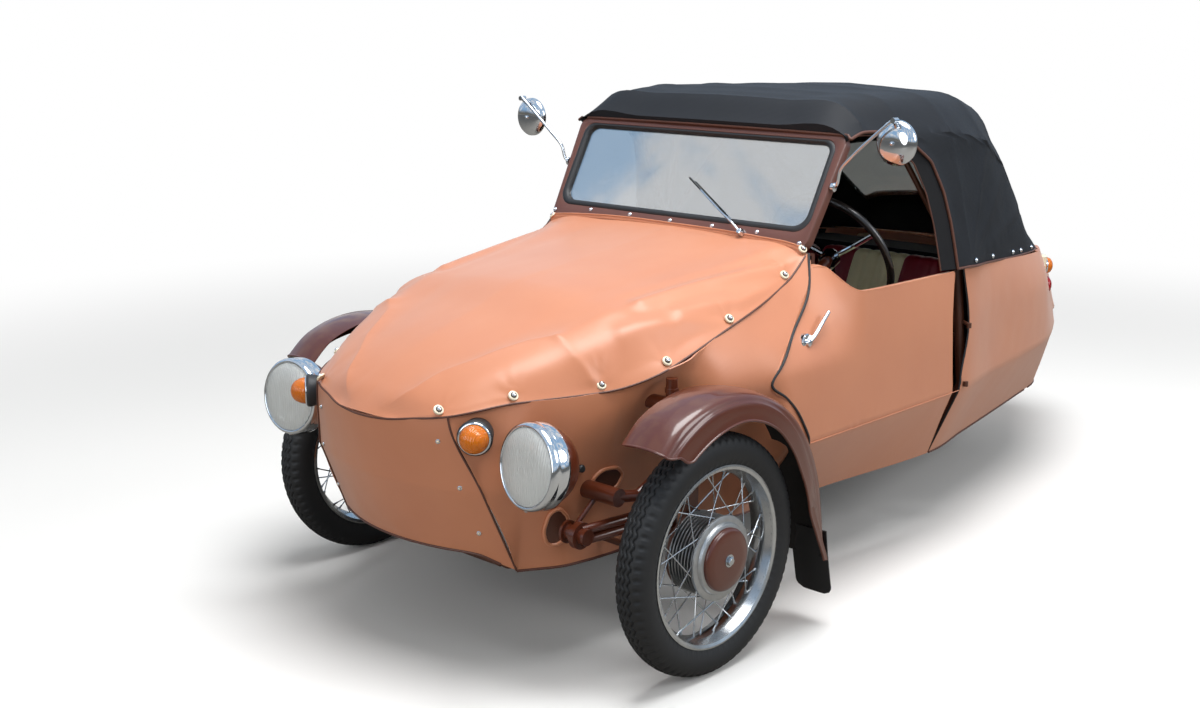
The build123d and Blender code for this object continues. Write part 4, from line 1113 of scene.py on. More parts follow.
# The doors are bound all round, and have a crease at the height where the skin turns in
CREASE_Z = LEVELS[1]
door_edge = np.vstack([door_skin[0, ::3], door_skin[::4, -1], door_skin[-1, ::-3], door_skin[::-4, 0]])
crease_s = np.linspace(float(door_front_s(CREASE_Z)) + 6, 1150, 30)
crease = np.stack([half_width(crease_s, CREASE_Z) + 0.5, crease_s, CREASE_Z + 0 * crease_s], axis=1)
for side, turn in SIDES_OF_CAR:
    line = through((door_edge - [1.6, 0, 0]) * [turn, 1, 1], 400, closed=True)
    binding = Stock().rod(line, DOOR_PIPE_R, 8, closed=True)
    binding.rod(through(crease * [turn, 1, 1], 80), CREASE_R, 6)
    binding.piece("door_binding_" + side, VINYL, "door_" + side, "skin_vinyl")

# Dark rubber seals on the body behind the door's front and rear gaps; they stand proud of the skin and paint
# the shade of the gaps as dark lines
seals_and_gap_shade = Stock()
seals_and_gap_shade.rod(through(front_side[-1, ::3] + [2.5, 3, 0], 120), SEAL_SHADE_R, 8)
seals_and_gap_shade.rod(through(quarter[0, ::3] - [4, -1, 0], 120), SEAL_SHADE_R, 8)
seals_and_gap_shade.with_mirror().piece("door_seals_gap_shade", SEAL, "body", "black_plastic")

# Dark brown patches on the side skins paint the shade of the openings round the arms' ends, each ringed by a
# vinyl rim: middle (s, z), half sizes, and phase of the uneven edge
ARM_OPENINGS = ((-100, 440, 46, 30, 0.4), (-238, 352, 27, 44, 2.1))
PROUD, RIM_R = [3.5, 0, 0], 4.6
opening_shade, hole_rim = Stock(), Stock()
share = np.linspace(0.02, 1, 8)[:, None]
turn = np.linspace(0, 2 * math.pi, 61)[:-1]
for mid_s, mid_z, half_s, half_z, phase in ARM_OPENINGS:
    wobble = 1 + 0.04 * np.sin(3 * turn + phase) + 0.015 * np.sin(7 * turn + 2 * phase)
    cut_s = mid_s + half_s * wobble * np.cos(turn)
    cut_z = mid_z + half_z * wobble * np.sin(turn)
    inner_s = np.append(cut_s, cut_s[0]) * share + mid_s * (1 - share)
    inner_z = np.append(cut_z, cut_z[0]) * share + mid_z * (1 - share)
    opening_shade.sheet(skin_grid(inner_s, inner_z) + PROUD, 1.0, HEART)
    rim_line = skin_grid(cut_s[None, :], cut_z[None, :])[0] + PROUD
    hole_rim.rod(through(rim_line, 140, closed=True), RIM_R, 8, closed=True)
# The patches are painted shade, in the dark brown of the binding
opening_shade.with_mirror().piece("arm_opening_shade", BINDING, "body", "skin_vinyl")
hole_rim.with_mirror().piece("arm_opening_rims", VINYL, "body", "skin_vinyl")

# Fenders: angle from straight back, then how far the crown, the bead and the lip stand from the axle
FENDER_ROWS = (
    (-15, 414, 394, 374), (-5, 390, 354, 330), (10, 384, 333, 298), (28, 386, 337, 297), (45, 388, 350, 307),
    (62, 391, 361, 320), (80, 392, 367, 324), (98, 393, 366, 315), (113, 393, 359, 306), (127, 380, 350, 300),
)
FENDER_IN, FENDER_OUT = WHEEL_X - 65, WHEEL_X + 75
# Across the fender: distance in from either edge, and how far the surface stands off its line
CROWN_STEPS = ((0, -9), (15, -5.5), (35, -2.2), (55, -0.5), (72, 0), (88, -1))
BEAD_STEPS = ((7.5, 1), (6, -2), (4.5, -12))
LIP_STEPS = ((3, 22), (2, 8), (0, 2))
SHOULDER_IN, SHOULDER_WIDE, SHOULDER_STEP = 38, 28, 15
# The front end is cut along this line in side view, as (s, z)
FENDER_CUT = ((-300, 601), (-120, 553))


def fender_grid(count=120):
    """Crown, rounded shoulder, stepped bead and flat side skirt, up to the cut of the front end."""
    k = [r[0] for r in FENDER_ROWS]
    first, last = k[0], k[-1]

    def place(angle, column):
        crown, bead, lip = (smooth(k, [r[i] for r in FENDER_ROWS], angle) for i in (1, 2, 3))
        x, kind, step = column
        if kind == "shoulder":
            drop = crown - bead - 7
            x = FENDER_OUT - SHOULDER_IN + SHOULDER_WIDE * math.sin(step)
            r = bead + 3 + drop * math.cos(step)
        else:
            r = {"crown": crown, "bead": bead, "lip": lip}[kind] + step
        a = np.radians(angle)
        return x + 0 * a, r * np.cos(a), TYRE_R + r * np.sin(a)

    columns = [(FENDER_IN + x, "crown", d) for x, d in CROWN_STEPS]
    columns += [(0, "shoulder", math.radians(a)) for a in range(0, 91, SHOULDER_STEP)]
    columns += [(FENDER_OUT - x, "bead", d) for x, d in BEAD_STEPS]
    columns += [(FENDER_OUT - x, "lip", d) for x, d in LIP_STEPS]
    scan = np.linspace(100, last, 109)
    (s0, z0), (s1, z1) = FENDER_CUT
    ends = []
    for column in columns:
        _, s, z = place(scan, column)
        below = z < z0 + (s - s0) * (z1 - z0) / (s1 - s0)
        ends.append(float(scan[np.argmax(below)]) if below.any() else float(last))
    ends = np.convolve(np.pad(np.array(ends), 2, "edge"), np.ones(5) / 5, "valid")
    u = np.linspace(0, 1, count)
    lines = [np.stack(place(first + (end - first) * u, c), axis=-1) for c, end in zip(columns, ends)]
    return np.stack(lines, axis=1)


fender_sheet = fender_grid()
# The fenders' undersides take the black of painted shade; their tops and edges take the enamel
arches = Stock().sheet(fender_sheet, 2.0, (FENDER_IN + 60, 0, TYRE_R), back=1)
fender_edge = np.vstack([fender_sheet[:, -1], fender_sheet[-1, ::-1][1:]])
arches.rod(through(fender_edge[::2], 260) - [1.5, 0, 0], 3.2, 10)
# Three rivets hold the flap to the fender's tail
RIVET, RIVET_OUT = ((-2, 5), (1.5, 5), (3, 3.6), (3.8, 1.4)), (0, 1, -0.2)
for x in (25, 60, 95):
    arches.turned(RIVET, (FENDER_IN + x, 399, 212), RIVET_OUT, 14)
arches.with_mirror().piece("fender_arches", [ENAMEL, UNDERSIDE_SHADE], "body", "brown_paint", ["fenders"], crisp=50)

# Flaps hang under the fenders' tails, nearly straight, with rounded lower corners
FLAP_TOP, FLAP_FOOT, FLAP_HALF, FLAP_CORNER = 256, 78, 53, 22
FLAP_LINE = ((FLAP_FOOT, 420), (130, 408), (200, 394), (258, 386))


def flap_grid(n=26, m=11):
    rows = []
    for z in np.linspace(FLAP_TOP, FLAP_FOOT, n):
        dip = max(0.0, FLAP_CORNER - (z - FLAP_FOOT))
        half = FLAP_HALF - FLAP_CORNER + math.sqrt(max(FLAP_CORNER**2 - dip * dip, 0))
        s = np.interp(z, [p[0] for p in FLAP_LINE], [p[1] for p in FLAP_LINE])
        rows.append([(WHEEL_X + 8 + half * v, s + 3 * v * v, z) for v in np.linspace(-1, 1, m)])
    return np.array(rows)


flap = Stock().sheet(flap_grid(), 4.0, (WHEEL_X, 0, 130))
flap.with_mirror().piece("mud_flaps", SEAL, "body", "black_plastic", crisp=30)

# Wheels: sections are (across the wheel, radius)
TYRE_SHAPE = (
    (-30, 208), (-31, 214), (-35, 221), (-40, 233), (-42.5, 247), (-41.8, 257), (-39, 267), (-35, 274.5),
    (-31, 279), (-27, 281.8), (-22, 284), (-15, 286.3), (-8, 287.5), (0, 288), (8, 287.5), (15, 286.3),
    (22, 284), (27, 281.8), (31, 279), (35, 274.5), (39, 267), (41.8, 257), (42.5, 247), (40, 233),
    (35, 221), (31, 214), (30, 208),
)
# Waves round the tread, the zigzag grooves, the notches in its shoulders and the line along its edge
TREAD_PITCH, TREAD_HALF = 72, 35
GROOVES, GROOVE_DEPTH, GROOVE_SWAY, GROOVE_WIDTH = (-13, 0, 13), 6.0, 3.2, 1.7
NOTCH_AT, NOTCH_DEPTH, NOTCH_WIDTH = 30, 4.2, 5.5
LINE_AT, LINE_DEPTH, LINE_WIDTH = 38.5, 0.9, 1.2
RIM_SECTION = (
    (-36, 217.4), (-32.5, 218), (-31, 214), (-30, 207), (-14, 203), (-8, 199), (8, 199), (14, 203), (30, 207),
    (31, 214), (32.5, 218), (36, 217.4), (37, 213), (34, 206), (16, 198), (9, 194), (-9, 194), (-16, 198),
    (-34, 206), (-37, 213),
)
SPOKES, SPOKE_R, SPOKE_LEAD, SPOKE_FOOT = 36, 1.7, 46, (5, 199)
DRUM_R, DRUM_HALF, FINS, FIN_DEPTH = 96, 37, 8, 12
# Out from the drum's face, as (along the axle, radius)
FLANGE = ((0, DRUM_R + 5), (4, DRUM_R + 4), (6, DRUM_R - 2), (6, 86), (12, 83), (14, 78), (14, 12))
HUB_COVER = ((12, 75), (18, 75), (22, 73), (25, 67), (26.5, 48), (27.5, 18), (27.5, 2))
HUB_NUT, HUB_WASHER = ((27, 10.5), (34, 10.5), (35.5, 8.5)), ((27, 15), (29, 15))
HUB_STUD = ((34, 7), (35.8, 6))
SPOKE_HEAD = ((-2, 4.5), (3, 4.5), (5, 2.5))


def tyre_rows(around=576):
    """Tread with three wavy grooves and notched shoulders, as radius and width at each angle."""
    walls = through([(w, r, 0) for w, r in TYRE_SHAPE[:8]], 9)[:-1]
    crown = TYRE_SHAPE[7:-7]
    tread_w = np.linspace(-TREAD_HALF, TREAD_HALF, 43)
    tread_r = smooth([w for w, _ in crown], [r for _, r in crown], tread_w)
    tread = np.stack([tread_w, tread_r, 0 * tread_w], axis=1)
    profile = np.concatenate([walls, tread, walls[::-1] * FAR_SIDE])
    rows = []
    for k in range(around):
        a = 2 * math.pi * k / around
        sway = GROOVE_SWAY * math.sin(a * TREAD_PITCH)
        notch = NOTCH_DEPTH * float(ease(np.array((math.sin(a * TREAD_PITCH + 0.6) - 0.15) / 0.5)))
        ring = []
        for w, r, _ in profile:
            cut = sum(GROOVE_DEPTH * math.exp(-(((w - at - sway) / GROOVE_WIDTH) ** 2)) for at in GROOVES)
            cut += notch * math.exp(-(((abs(w) - NOTCH_AT) / NOTCH_WIDTH) ** 2))
            cut += LINE_DEPTH * math.exp(-(((abs(w) - LINE_AT) / LINE_WIDTH) ** 2))
            ring.append((w, (r - cut) * math.cos(a), (r - cut) * math.sin(a)))
        rows.append(ring)
    return np.array(rows)


def on_axle(points, centre, turn=1):
    """Wheel points (outwards, across, up) carried to a wheel's centre."""
    return np.asarray(points) * [turn, 1, 1] + np.asarray(centre, float)


def tyre_faces(n, m):
    """Faces of a closed ring of n rows of m points, with the strip that closes the tyre inside the rim."""
    faces = []
    for i in range(n):
        here, there = i * m, (i + 1) % n * m
        faces += [(here + j, here + j + 1, there + j + 1, there + j) for j in range(m - 1)]
    for i in range(n):
        here, there = i * m, (i + 1) % n * m
        faces.append((there, here, here + m - 1, there + m - 1))
    return faces


def spoke_lines():
    """Head at the drum's flange, foot at the rim bed, crossing in pairs."""
    lines = []
    foot_x, foot_r = SPOKE_FOOT
    for i in range(SPOKES):
        out = 1 if i % 2 else -1
        lead = 1 if (i // 2) % 2 else -1
        foot = 2 * math.pi * (i + 0.5) / SPOKES
        head = foot + math.radians(SPOKE_LEAD * lead)
        head_r = DRUM_R - 4
        lines.append((
            (out * (DRUM_HALF - 1), head_r * math.cos(head), head_r * math.sin(head)),
            (out * foot_x, foot_r * math.cos(foot), foot_r * math.sin(foot)),
        ))
    return lines


def spoked_rim(centre, turn):
    """Rim with its spokes, each with a nipple at its foot."""
    rim = Stock().turned(list(RIM_SECTION), centre, (turn, 0, 0), 96, closed=True)
    for head, foot in spoke_lines():
        a, b = np.array(head), np.array(foot)
        rim.rod(on_axle(np.array([a, a + (b - a) * 0.9]), centre, turn), SPOKE_R, 8)
        nipple = np.array([a + (b - a) * 0.88, a + (b - a) * 0.95, b])
        rim.rod(on_axle(nipple, centre, turn), [2.2, 3.2, 3.4], 8)
    return rim


def from_drum(profile):
    return [(DRUM_HALF + along, radius) for along, radius in profile]


def finned_drum(centre, turn):
    """Drum with fins round it and, on its outer flange, the spokes' heads."""
    profile = [(-DRUM_HALF, 12), (-DRUM_HALF, DRUM_R - 1)]
    pitch = 2 * DRUM_HALF / FINS
    for i in range(FINS):
        x = -DRUM_HALF + i * pitch
        profile += [(x + 0.8, DRUM_R), (x + 3.4, DRUM_R)]
        profile += [(x + 4.4, DRUM_R - FIN_DEPTH), (x + pitch - 0.4, DRUM_R - FIN_DEPTH)]
    drum = Stock().turned(profile + from_drum(FLANGE), centre, (turn, 0, 0), 72)
    for head, _ in spoke_lines():
        if head[0] > 0:
            drum.turned(SPOKE_HEAD, on_axle(np.array([head]), centre, turn)[0], (turn, 0, 0), 10)
    return drum


WHEELS = {
    "left": ((WHEEL_X, 0, TYRE_R), 1),
    "right": ((-WHEEL_X, 0, TYRE_R), -1),
    "rear": ((0, WHEELBASE, TYRE_R), 1),
}
tyre_points = tyre_rows()
ring_faces = tyre_faces(*tyre_points.shape[:2])
for side, (centre, turn) in WHEELS.items():
    body, axle = "wheel_" + side, (turn, 0, 0)
    Stock().take(on_axle(tyre_points.reshape(-1, 3), centre, turn), ring_faces).piece(
        "tyre_tread_" + side, TYRE, body, "tyre_rubber", ["tyre_" + side], crisp=60
    )
    rim = spoked_rim(centre, turn)
    rim.piece("spoked_rim_" + side, ZINC, body, "rim_chrome", ["rim_" + side], crisp=30)
    drum = finned_drum(centre, turn)
    drum.piece("finned_drum_" + side, CAST, body, "hub_alloy", ["hub_" + side], crisp=30)
    hub_cover = Stock().turned(from_drum(HUB_COVER), centre, axle, 64)
    hub_cover.piece("hub_cover_" + side, ENAMEL, body, "brown_paint", crisp=40)
    nut = Stock().turned(from_drum(HUB_NUT), centre, axle, 6)
    nut.turned(from_drum(HUB_WASHER), centre, axle, 24)
    nut.turned(from_drum(HUB_STUD), centre, axle, 16)
    nut.piece("hub_nut_" + side, ZINC, body, "rim_chrome", crisp=25)

# Head lamps: their profiles are (distance along the axis, radius)
LAMP_AT = np.array([436, -394, 546.0])
LAMP_AXIS = np.array([-16, -139, 19.0])
LAMP_AXIS /= np.linalg.norm(LAMP_AXIS)
LAMP_SHELL = (
    (-108, 2), (-108, 40), (-105, 53), (-98, 64), (-87, 74), (-74, 82.5), (-61, 89), (-50, 93), (-44, 94),
    (-42, 90),
)
LAMP_BOLT = ((-114, 6), (-110, 12), (-106, 12))
LAMP_STALK = ((440, -292, 530), (418, -257, 518), (392, -215, 505))
LAMP_RIM = (
    (-47, 93.5), (-47, 96.8), (-45.5, 98.2), (-40, 98.6), (-22, 98.6), (-19, 97.4), (-16, 98.4), (-8, 98.0),
    (-3, 96.6), (0.5, 94), (2, 91), (1.5, 88.4), (-1, 87), (-5, 86.6), (-12, 87.5), (-40, 92),
)
RIM_SCREW, RIM_SCREW_AT = ((-26, 3.6), (2, 3.6), (4, 2.4), (4, 0.6)), LAMP_AT + [0, 0, -99.5]
LAMP_BOWL = (
    (-7, 86), (-20, 80), (-34, 69), (-46, 53), (-54, 36), (-58, 20), (-59, 14), (-62, 14), (-61, 22),
    (-57, 39), (-49, 56), (-37, 71), (-22, 82), (-8, 88),
)
LAMP_BULB = ((-62, 15), (-56, 15), (-54, 12), (-40, 11), (-34, 9), (-31, 4))
LAMP_LENS = ((-5, 87), (0, 86.4), (4, 79), (7.5, 65), (10, 46), (11.4, 24), (11.8, 1))
LENS_T, LENS_SHRINK = 4, 0.985

lamp_shell = Stock().turned(LAMP_SHELL, LAMP_AT, LAMP_AXIS, 72)
lamp_shell.rod(LAMP_STALK, 20, 24)
lamp_shell.turned(LAMP_BOLT, LAMP_AT, LAMP_AXIS, 6)
lamp_shell.with_mirror().piece("lamp_shells", ENAMEL, "body", "brown_paint", ["headlamp_shells"])
lamp_rim = Stock().turned(LAMP_RIM, LAMP_AT, LAMP_AXIS, 96, closed=True)
lamp_rim.turned(RIM_SCREW, RIM_SCREW_AT, LAMP_AXIS, 12)
lamp_rim.with_mirror().piece("lamp_rims", CHROME, "body", "chrome_trim", crisp=50)
bowl = Stock().turned(LAMP_BOWL, LAMP_AT, LAMP_AXIS, 64, closed=True)
bowl.turned(LAMP_BULB, LAMP_AT, LAMP_AXIS, 24)
bowl.with_mirror().piece("lamp_reflectors", SILVER, "body", "chrome_trim")
lens_profile = list(LAMP_LENS) + [(d - LENS_T, r * LENS_SHRINK) for d, r in LAMP_LENS[::-1]]
lens = Stock().turned(lens_profile, LAMP_AT, LAMP_AXIS, 72, closed=True)
lens.with_mirror().piece("lamp_lenses", FLUTED, "body", "lamp_glass", ["headlamp_lenses"])
# A small black peg stands on the skin behind each lamp
PEG = ((-12, 7), (0, 7), (3, 9), (9, 9), (12, 6), (12, 1))
PEG_AT, PEG_OUT = (396, -185, 486), (0.97, -0.1, 0.2)
peg = Stock().turned(PEG, PEG_AT, PEG_OUT, 20)
peg.with_mirror().piece("side_pegs", SEAL, "body", "black_plastic", crisp=40)

# Turn indicators on the nose corners
TURN_SPLAY = math.radians(38)
TURN_AT = np.array([302, -419, 591.0])
TURN_OUT = np.array([math.sin(TURN_SPLAY), -math.cos(TURN_SPLAY), 0])
TURN_CUP = (
    (-36, 30), (-36, 36), (-8, 38), (0, 40.5), (5, 41), (9, 40), (11, 38), (9, 35), (4, 34), (-20, 29),
)
TURN_RING = ((3, 33), (3, 37.6), (9, 38.2), (12, 37.4), (14, 35.6), (14, 33.8), (12, 32.6))
TURN_DOME = (
    (3, 33.4), (16, 33), (24, 31.6), (31, 29), (34, 27.5), (38, 25.5), (42, 22), (44.5, 19), (47.5, 14),
    (49.5, 8), (50.5, 1),
)
TURN_BULB = ((2, 30), (6, 30), (10, 9), (20, 8), (25, 2))
turn_cup = Stock().turned(TURN_CUP, TURN_AT, TURN_OUT, 56, closed=True)
turn_cup.with_mirror().piece("indicator_cups", SEAL, "body", "black_plastic", ["indicators"])
turn_ring = Stock().turned(TURN_RING, TURN_AT, TURN_OUT, 56, closed=True)
turn_ring.with_mirror().piece("indicator_rings", CHROME, "body", "chrome_trim", crisp=50)
dome_profile = list(TURN_DOME) + [(d - 3, max(r - 2, 0.8)) for d, r in TURN_DOME[::-1]]
dome = Stock().turned(dome_profile, TURN_AT, TURN_OUT, 56, closed=True)
dome.turned(TURN_BULB, TURN_AT, TURN_OUT, 24)
dome.with_mirror().piece("indicator_domes", AMBER, "body", "amber_plastic")

# Windscreen on its raked plane: places are (across, up the plane, out of it)
FOOT_S, FOOT_Z, HEAD_S, HEAD_Z = 585, 902, 745, 1190
RISE = math.hypot(HEAD_S - FOOT_S, HEAD_Z - FOOT_Z)
UP = np.array([0, (HEAD_S - FOOT_S) / RISE, (HEAD_Z - FOOT_Z) / RISE])
OUT = np.cross([1, 0, 0], UP)
LOW_X, TOP_X = 462, 476


def on_screen(x, up, out):
    return np.array([x, FOOT_S, FOOT_Z], float) + UP * up + OUT * out


def screen_outline(low, top, low_half, top_half, low_round, top_round, count=9):
    """Rounded outline on the screen's plane between two heights, by half widths and corner radii."""
    line = []
    corners = ((-1, low_half, low, low_round, 180), (1, low_half, low, low_round, 270))
    corners += ((1, top_half, top, top_round, 0), (-1, top_half, top, top_round, 90))
    for side, half, up, r, start in corners:
        rise = 1 if start >= 180 else -1
        for i in range(count):
            a = math.radians(start + 90 * i / (count - 1))
            line.append((side * (half - r) + r * math.cos(a), up + rise * r + r * math.sin(a)))
    return line


def screen_ring(steps, name, finish, slot, replaces=(), crisp=40):
    """Closed ring round the screen; steps are an outline's six sizes and how far out it lies."""
    rows = [[on_screen(x, y, step[6]) for x, y in screen_outline(*step[:6])] for step in steps]
    m = len(rows[0])
    n = len(rows)
    faces = [
        (i * m + j, i * m + (j + 1) % m, (i + 1) % n * m + (j + 1) % m, (i + 1) % n * m + j)
        for i in range(n)
        for j in range(m)
    ]
    return Stock().take(np.array(rows), faces).piece(name, finish, "body", slot, replaces, crisp)


# A broad bar below and narrow ones at the sides and above
FRAME_STEPS = (
    (0, RISE, LOW_X, TOP_X, 34, 34, -12), (0, RISE, LOW_X, TOP_X, 34, 34, 8),
    (2, RISE - 2, LOW_X - 2, TOP_X - 2, 32, 32, 12), (6, RISE - 6, LOW_X - 6, TOP_X - 6, 30, 30, 13.5),
    (44, 309, 451, 453, 46, 34, 13.5), (47, 307, 448, 450, 46, 33, 11), (48, 306, 447, 449, 46, 33, -9),
    (44, 309, 451, 453, 46, 34, -13), (3, RISE - 3, LOW_X - 3, TOP_X - 3, 31, 31, -13),
)
RUBBER_STEPS = (
    (46, 309, 450, 451, 47, 35, -6), (46, 309, 450, 451, 47, 35, 11), (50, 306, 446, 447, 45, 33, 14.5),
    (55, 302, 440, 441, 43, 31, 14.8), (60, 299, 434, 435, 41, 29, 12), (63.5, 297, 431, 432, 40, 28, 7),
    (64, 296.5, 430, 431, 40, 28, 2), (64, 296.5, 430, 431, 40, 28, -6), (57, 302, 439, 440, 42, 31, -9),
    (49, 307, 447, 448, 45, 34, -8),
)
screen_ring(FRAME_STEPS, "screen_frame", SCREEN_PAINT, "frame_paint", ["windscreen_frame"])
screen_ring(RUBBER_STEPS, "screen_rubber", SEAL, "black_plastic")
PANE_HALF, PANE_LOW, PANE_TALL, PANE_OUT, PANE_T = 439, 56, 248, 2.5, 5.0
BEHIND_SCREEN = (0, 1200, 900)
pane = [
    [on_screen(x * PANE_HALF, PANE_LOW + PANE_TALL * v, PANE_OUT) for x in np.linspace(-1, 1, 24)]
    for v in np.linspace(0, 1, 14)
]
glass = Stock().sheet(np.array(pane), PANE_T, BEHIND_SCREEN)
glass.piece("screen_pane", PANE, "body", "window_glass", ["windscreen_glass"], crisp=30)

# Hem of the bonnet's cloth where it laps the screen's foot: how far up the plane its edge lies across the car
WELT_UP = (
    (-455, 8), (-426, 12), (-308, 22), (-144, 28), (6, 27), (155, 26), (299, 21), (443, 9), (455, 6),
)
WELT_DOWN, WELT_OUT, WELT_T, WELT_R, STITCH_R = (-22, -14, -7, 0), 15, 2.0, 2.3, 0.7
welt_line = [(x, up) for x, up, _ in through([(x, up, 0) for x, up in WELT_UP], 90)]
welt_rows = [
    [on_screen(x, up + d, WELT_OUT - 0.5 * (d / 7) ** 2) for d in WELT_DOWN] for x, up in welt_line
]
welt = Stock().sheet(np.array(welt_rows), WELT_T, BEHIND_SCREEN)
welt.rod([on_screen(x, up, WELT_OUT) for x, up in welt_line], WELT_R, 8)
welt.rod([on_screen(x, up - 9, WELT_OUT + 0.4) for x, up in welt_line], STITCH_R, 6)
welt.piece("screen_welt", VINYL, "body", "skin_vinyl", crisp=50)

# Studs and turn-buttons

def studs(name, places, body, finish=BUTTON, radius=7.5):
    """Buttons as (place, direction) pairs: a chromed washer with a domed top."""
    ring, top = Stock(), Stock()
    for place, out in places:
        ring.turned([(-1, radius), (1.2, radius), (2.2, radius - 1.2), (2.2, radius - 2.4)], place, out, 20)
        top.turned([(1.5, radius - 2.2), (3.4, radius - 2.8), (5, radius - 4.5), (5.4, 0.6)], place, out, 16)
    ring.piece(name + "_washers", CHROME, body, "chrome_trim", crisp=40)
    top.piece(name + "_tops", finish, body, "chrome_trim", crisp=50)


button_places = []
for turn in (1, -1):
    for s in BUTTON_S:
        x, z = bonnet_edge_at(s)
        button_places.append(((turn * (x - 9), s, z + 15), (turn * 0.72, -0.2, 0.65)))

BUTTON_WASHER = ((-2, 12), (1.2, 12), (2.4, 11.2), (2.9, 9), (2.9, 7.2))
BUTTON_RING = ((1, 7.4), (3.4, 7.4), (4.2, 6.4), (4.2, 5))
BUTTON_KNOB = ((2, 5), (7, 5), (8.2, 4.2), (8.6, 0.8))
BUTTON_SLOT, SLOT_OUT = (8.6, 1.3, 0.8), 8.5


def turn_buttons(name, places, body):
    """Turn-buttons: a cream washer, a dark ring and a chromed knob with a slot across it."""
    washer, ring, knob = Stock(), Stock(), Stock()
    for place, out in places:
        place, out = np.asarray(place, float), np.asarray(out, float) / np.linalg.norm(out)
        washer.turned(BUTTON_WASHER, place, out, 28)
        ring.turned(BUTTON_RING, place, out, 20)
        knob.turned(BUTTON_KNOB, place, out, 18)
        side = np.cross(out, [0, 0, 1.0])
        side /= np.linalg.norm(side)
        axes = np.stack([side, np.cross(out, side), out], axis=1)
        ring.block(place + out * SLOT_OUT, BUTTON_SLOT, axes, 0.2)
    washer.piece(name + "_washers", BUTTON, body, "chrome_trim", crisp=40)
    ring.piece(name + "_rings", SEAL, body, "black_plastic", crisp=40)
    knob.piece(name + "_knobs", CHROME, body, "chrome_trim", crisp=50)


turn_buttons("bonnet_buttons", button_places, "body")
# Three buttons down each end of the nose, by their share of its height
nose_places = []
for turn in (1, -1):
    for share in (0.86, 0.56, 0.22):
        x, s, z = nose[-6, int(share * (nose.shape[1] - 1))]
        nose_places.append(((turn * x, s, z), (turn * 0.62, -0.78, 0)))
studs("nose_buttons", nose_places, "body", radius=5.5)
STUD_AT = ((-451, 24), (-311, 37), (-158, 37), (-7, 34), (143, 34), (296, 33), (438, 17))
studs("screen_studs", [(on_screen(x, up, 13.5), OUT) for x, up in STUD_AT], "body", CHROME, 6)

# Hood edge: piping round the opening, over the screen's head and along the hems, the hem with its buttons,
# and the window frame
hood_trim = Stock()
opening = [tuple(head_line[0])]
for s in np.linspace(HOOD_FRONT + 4, OPEN_TOP_S, 14):
    opening.append(hood_at(s, RAIL))
opening += [tuple(p) for p in full[0, crown_column + 24 :]]
opening = np.abs(np.array(opening))
hem_line = np.abs(full[:, -1])
for turn in (1, -1):
    hood_trim.rod(through(opening * [turn, 1, 1] + [turn * 1.5, 0, 0], 160), 4.2, 10)
    hood_trim.rod(through(hem_line[::6] * [turn, 1, 1] + [turn * 1.0, 0, 0], 160), 3.6, 8)
hood_trim.rod(through(head_line[::3], 120), 3.6, 8)
hood_trim.rod(through(full[-1, ::6], 120), 3.4, 8)
hood_trim.piece("hood_piping", BINDING, "body", "hood_fabric")
inner = full[top_row : low_row + 1, left_column : right_column + 1]
frame_rows = [inner[0], inner[:, -1], inner[-1, ::-1], inner[::-1, 0]]
Stock().rod(through(np.vstack(frame_rows)[::3], 160, closed=True), 3.0, 8, closed=True).piece(
    "hood_window_binding", LINING, "body", "hood_fabric"
)
HOOD_BUTTON_S = (1247, 1431, 1632, 1727, 1897)
hem_places = []
for turn in (1, -1):
    for s in HOOD_BUTTON_S:
        x, y, z = hem_line[int(np.argmin(np.abs(hem_line[:, 1] - s)))]
        hem_places.append(((turn * (x + 1.5), y, z + 16), (turn * 0.98, 0, 0.2)))
studs("hood_buttons", hem_places, "body", finish=CHROME, radius=7)

# Lining flap inside the opening, a band of black cloth with piping along its inner edge
FLAP_IN, FLAP_POINTS = 62, 90


def flap_rows_of(turn):
    """Rows in from the opening's edge; ahead of the door the band is narrow and hangs."""
    rows = []
    for i, p in enumerate(through(opening, FLAP_POINTS)):
        u = i / (FLAP_POINTS - 1)
        inward = np.array([-14.0, -FLAP_IN * ease((u - 0.22) / 0.3), -10 * (1 - ease((u - 0.3) / 0.3))])
        rows.append([p + inward * t - [2, 0, 0] for t in np.linspace(0, 1, 6)])
    return np.array(rows) * [turn, 1, 1]


flaps, flap_trim = Stock(), Stock()
for turn in (1, -1):
    rows = flap_rows_of(turn)
    flaps.sheet(rows, 2.0, (0, 1000, 900))
    flap_trim.rod(rows[:, -1], 2.2, 8)
flaps.piece("opening_flaps", LINING, "body", "hood_fabric")
flap_trim.piece("opening_flap_piping", BINDING, "body", "hood_fabric")

# Mirrors: a bent arm and a round head
ARM_PATH = (
    (474, 674, 1060), (486, 669, 1068), (500, 664, 1108), (540, 658, 1148), (600, 654, 1199),
    (660, 652, 1247),
)
ARM_END, ARM_FOOT, MIRROR_AT = (660, 656, 1243), (476, 672, 1063), (650, 684, 1186)
MIRROR_SHELL = ((-8, 40), (-8, 55), (-5, 57), (2, 57), (8, 53), (14, 44), (18, 30), (20, 12), (20, 1))
mirror = Stock().rod(through(ARM_PATH, 60), 4.4, 12)
mirror.turned([(-10, 7), (10, 7), (12, 5)], ARM_END, (0, 1, 0), 16)
mirror.rod(np.array([(660, 656, 1240), (654, 676, 1222)]), 5, 10)
mirror.turned([(-4, 12), (4, 12), (6, 9)], ARM_FOOT, (1, 0, 0), 20)
mirror.turned(MIRROR_SHELL, MIRROR_AT, (0, -1, 0), 48)
mirror.turned([(16, 5), (24, 5), (26, 2)], MIRROR_AT, (0, -1, 0), 12)
mirror.with_mirror().piece("mirror_heads", CHROME, "body", "chrome_trim", ["mirrors"], crisp=35)

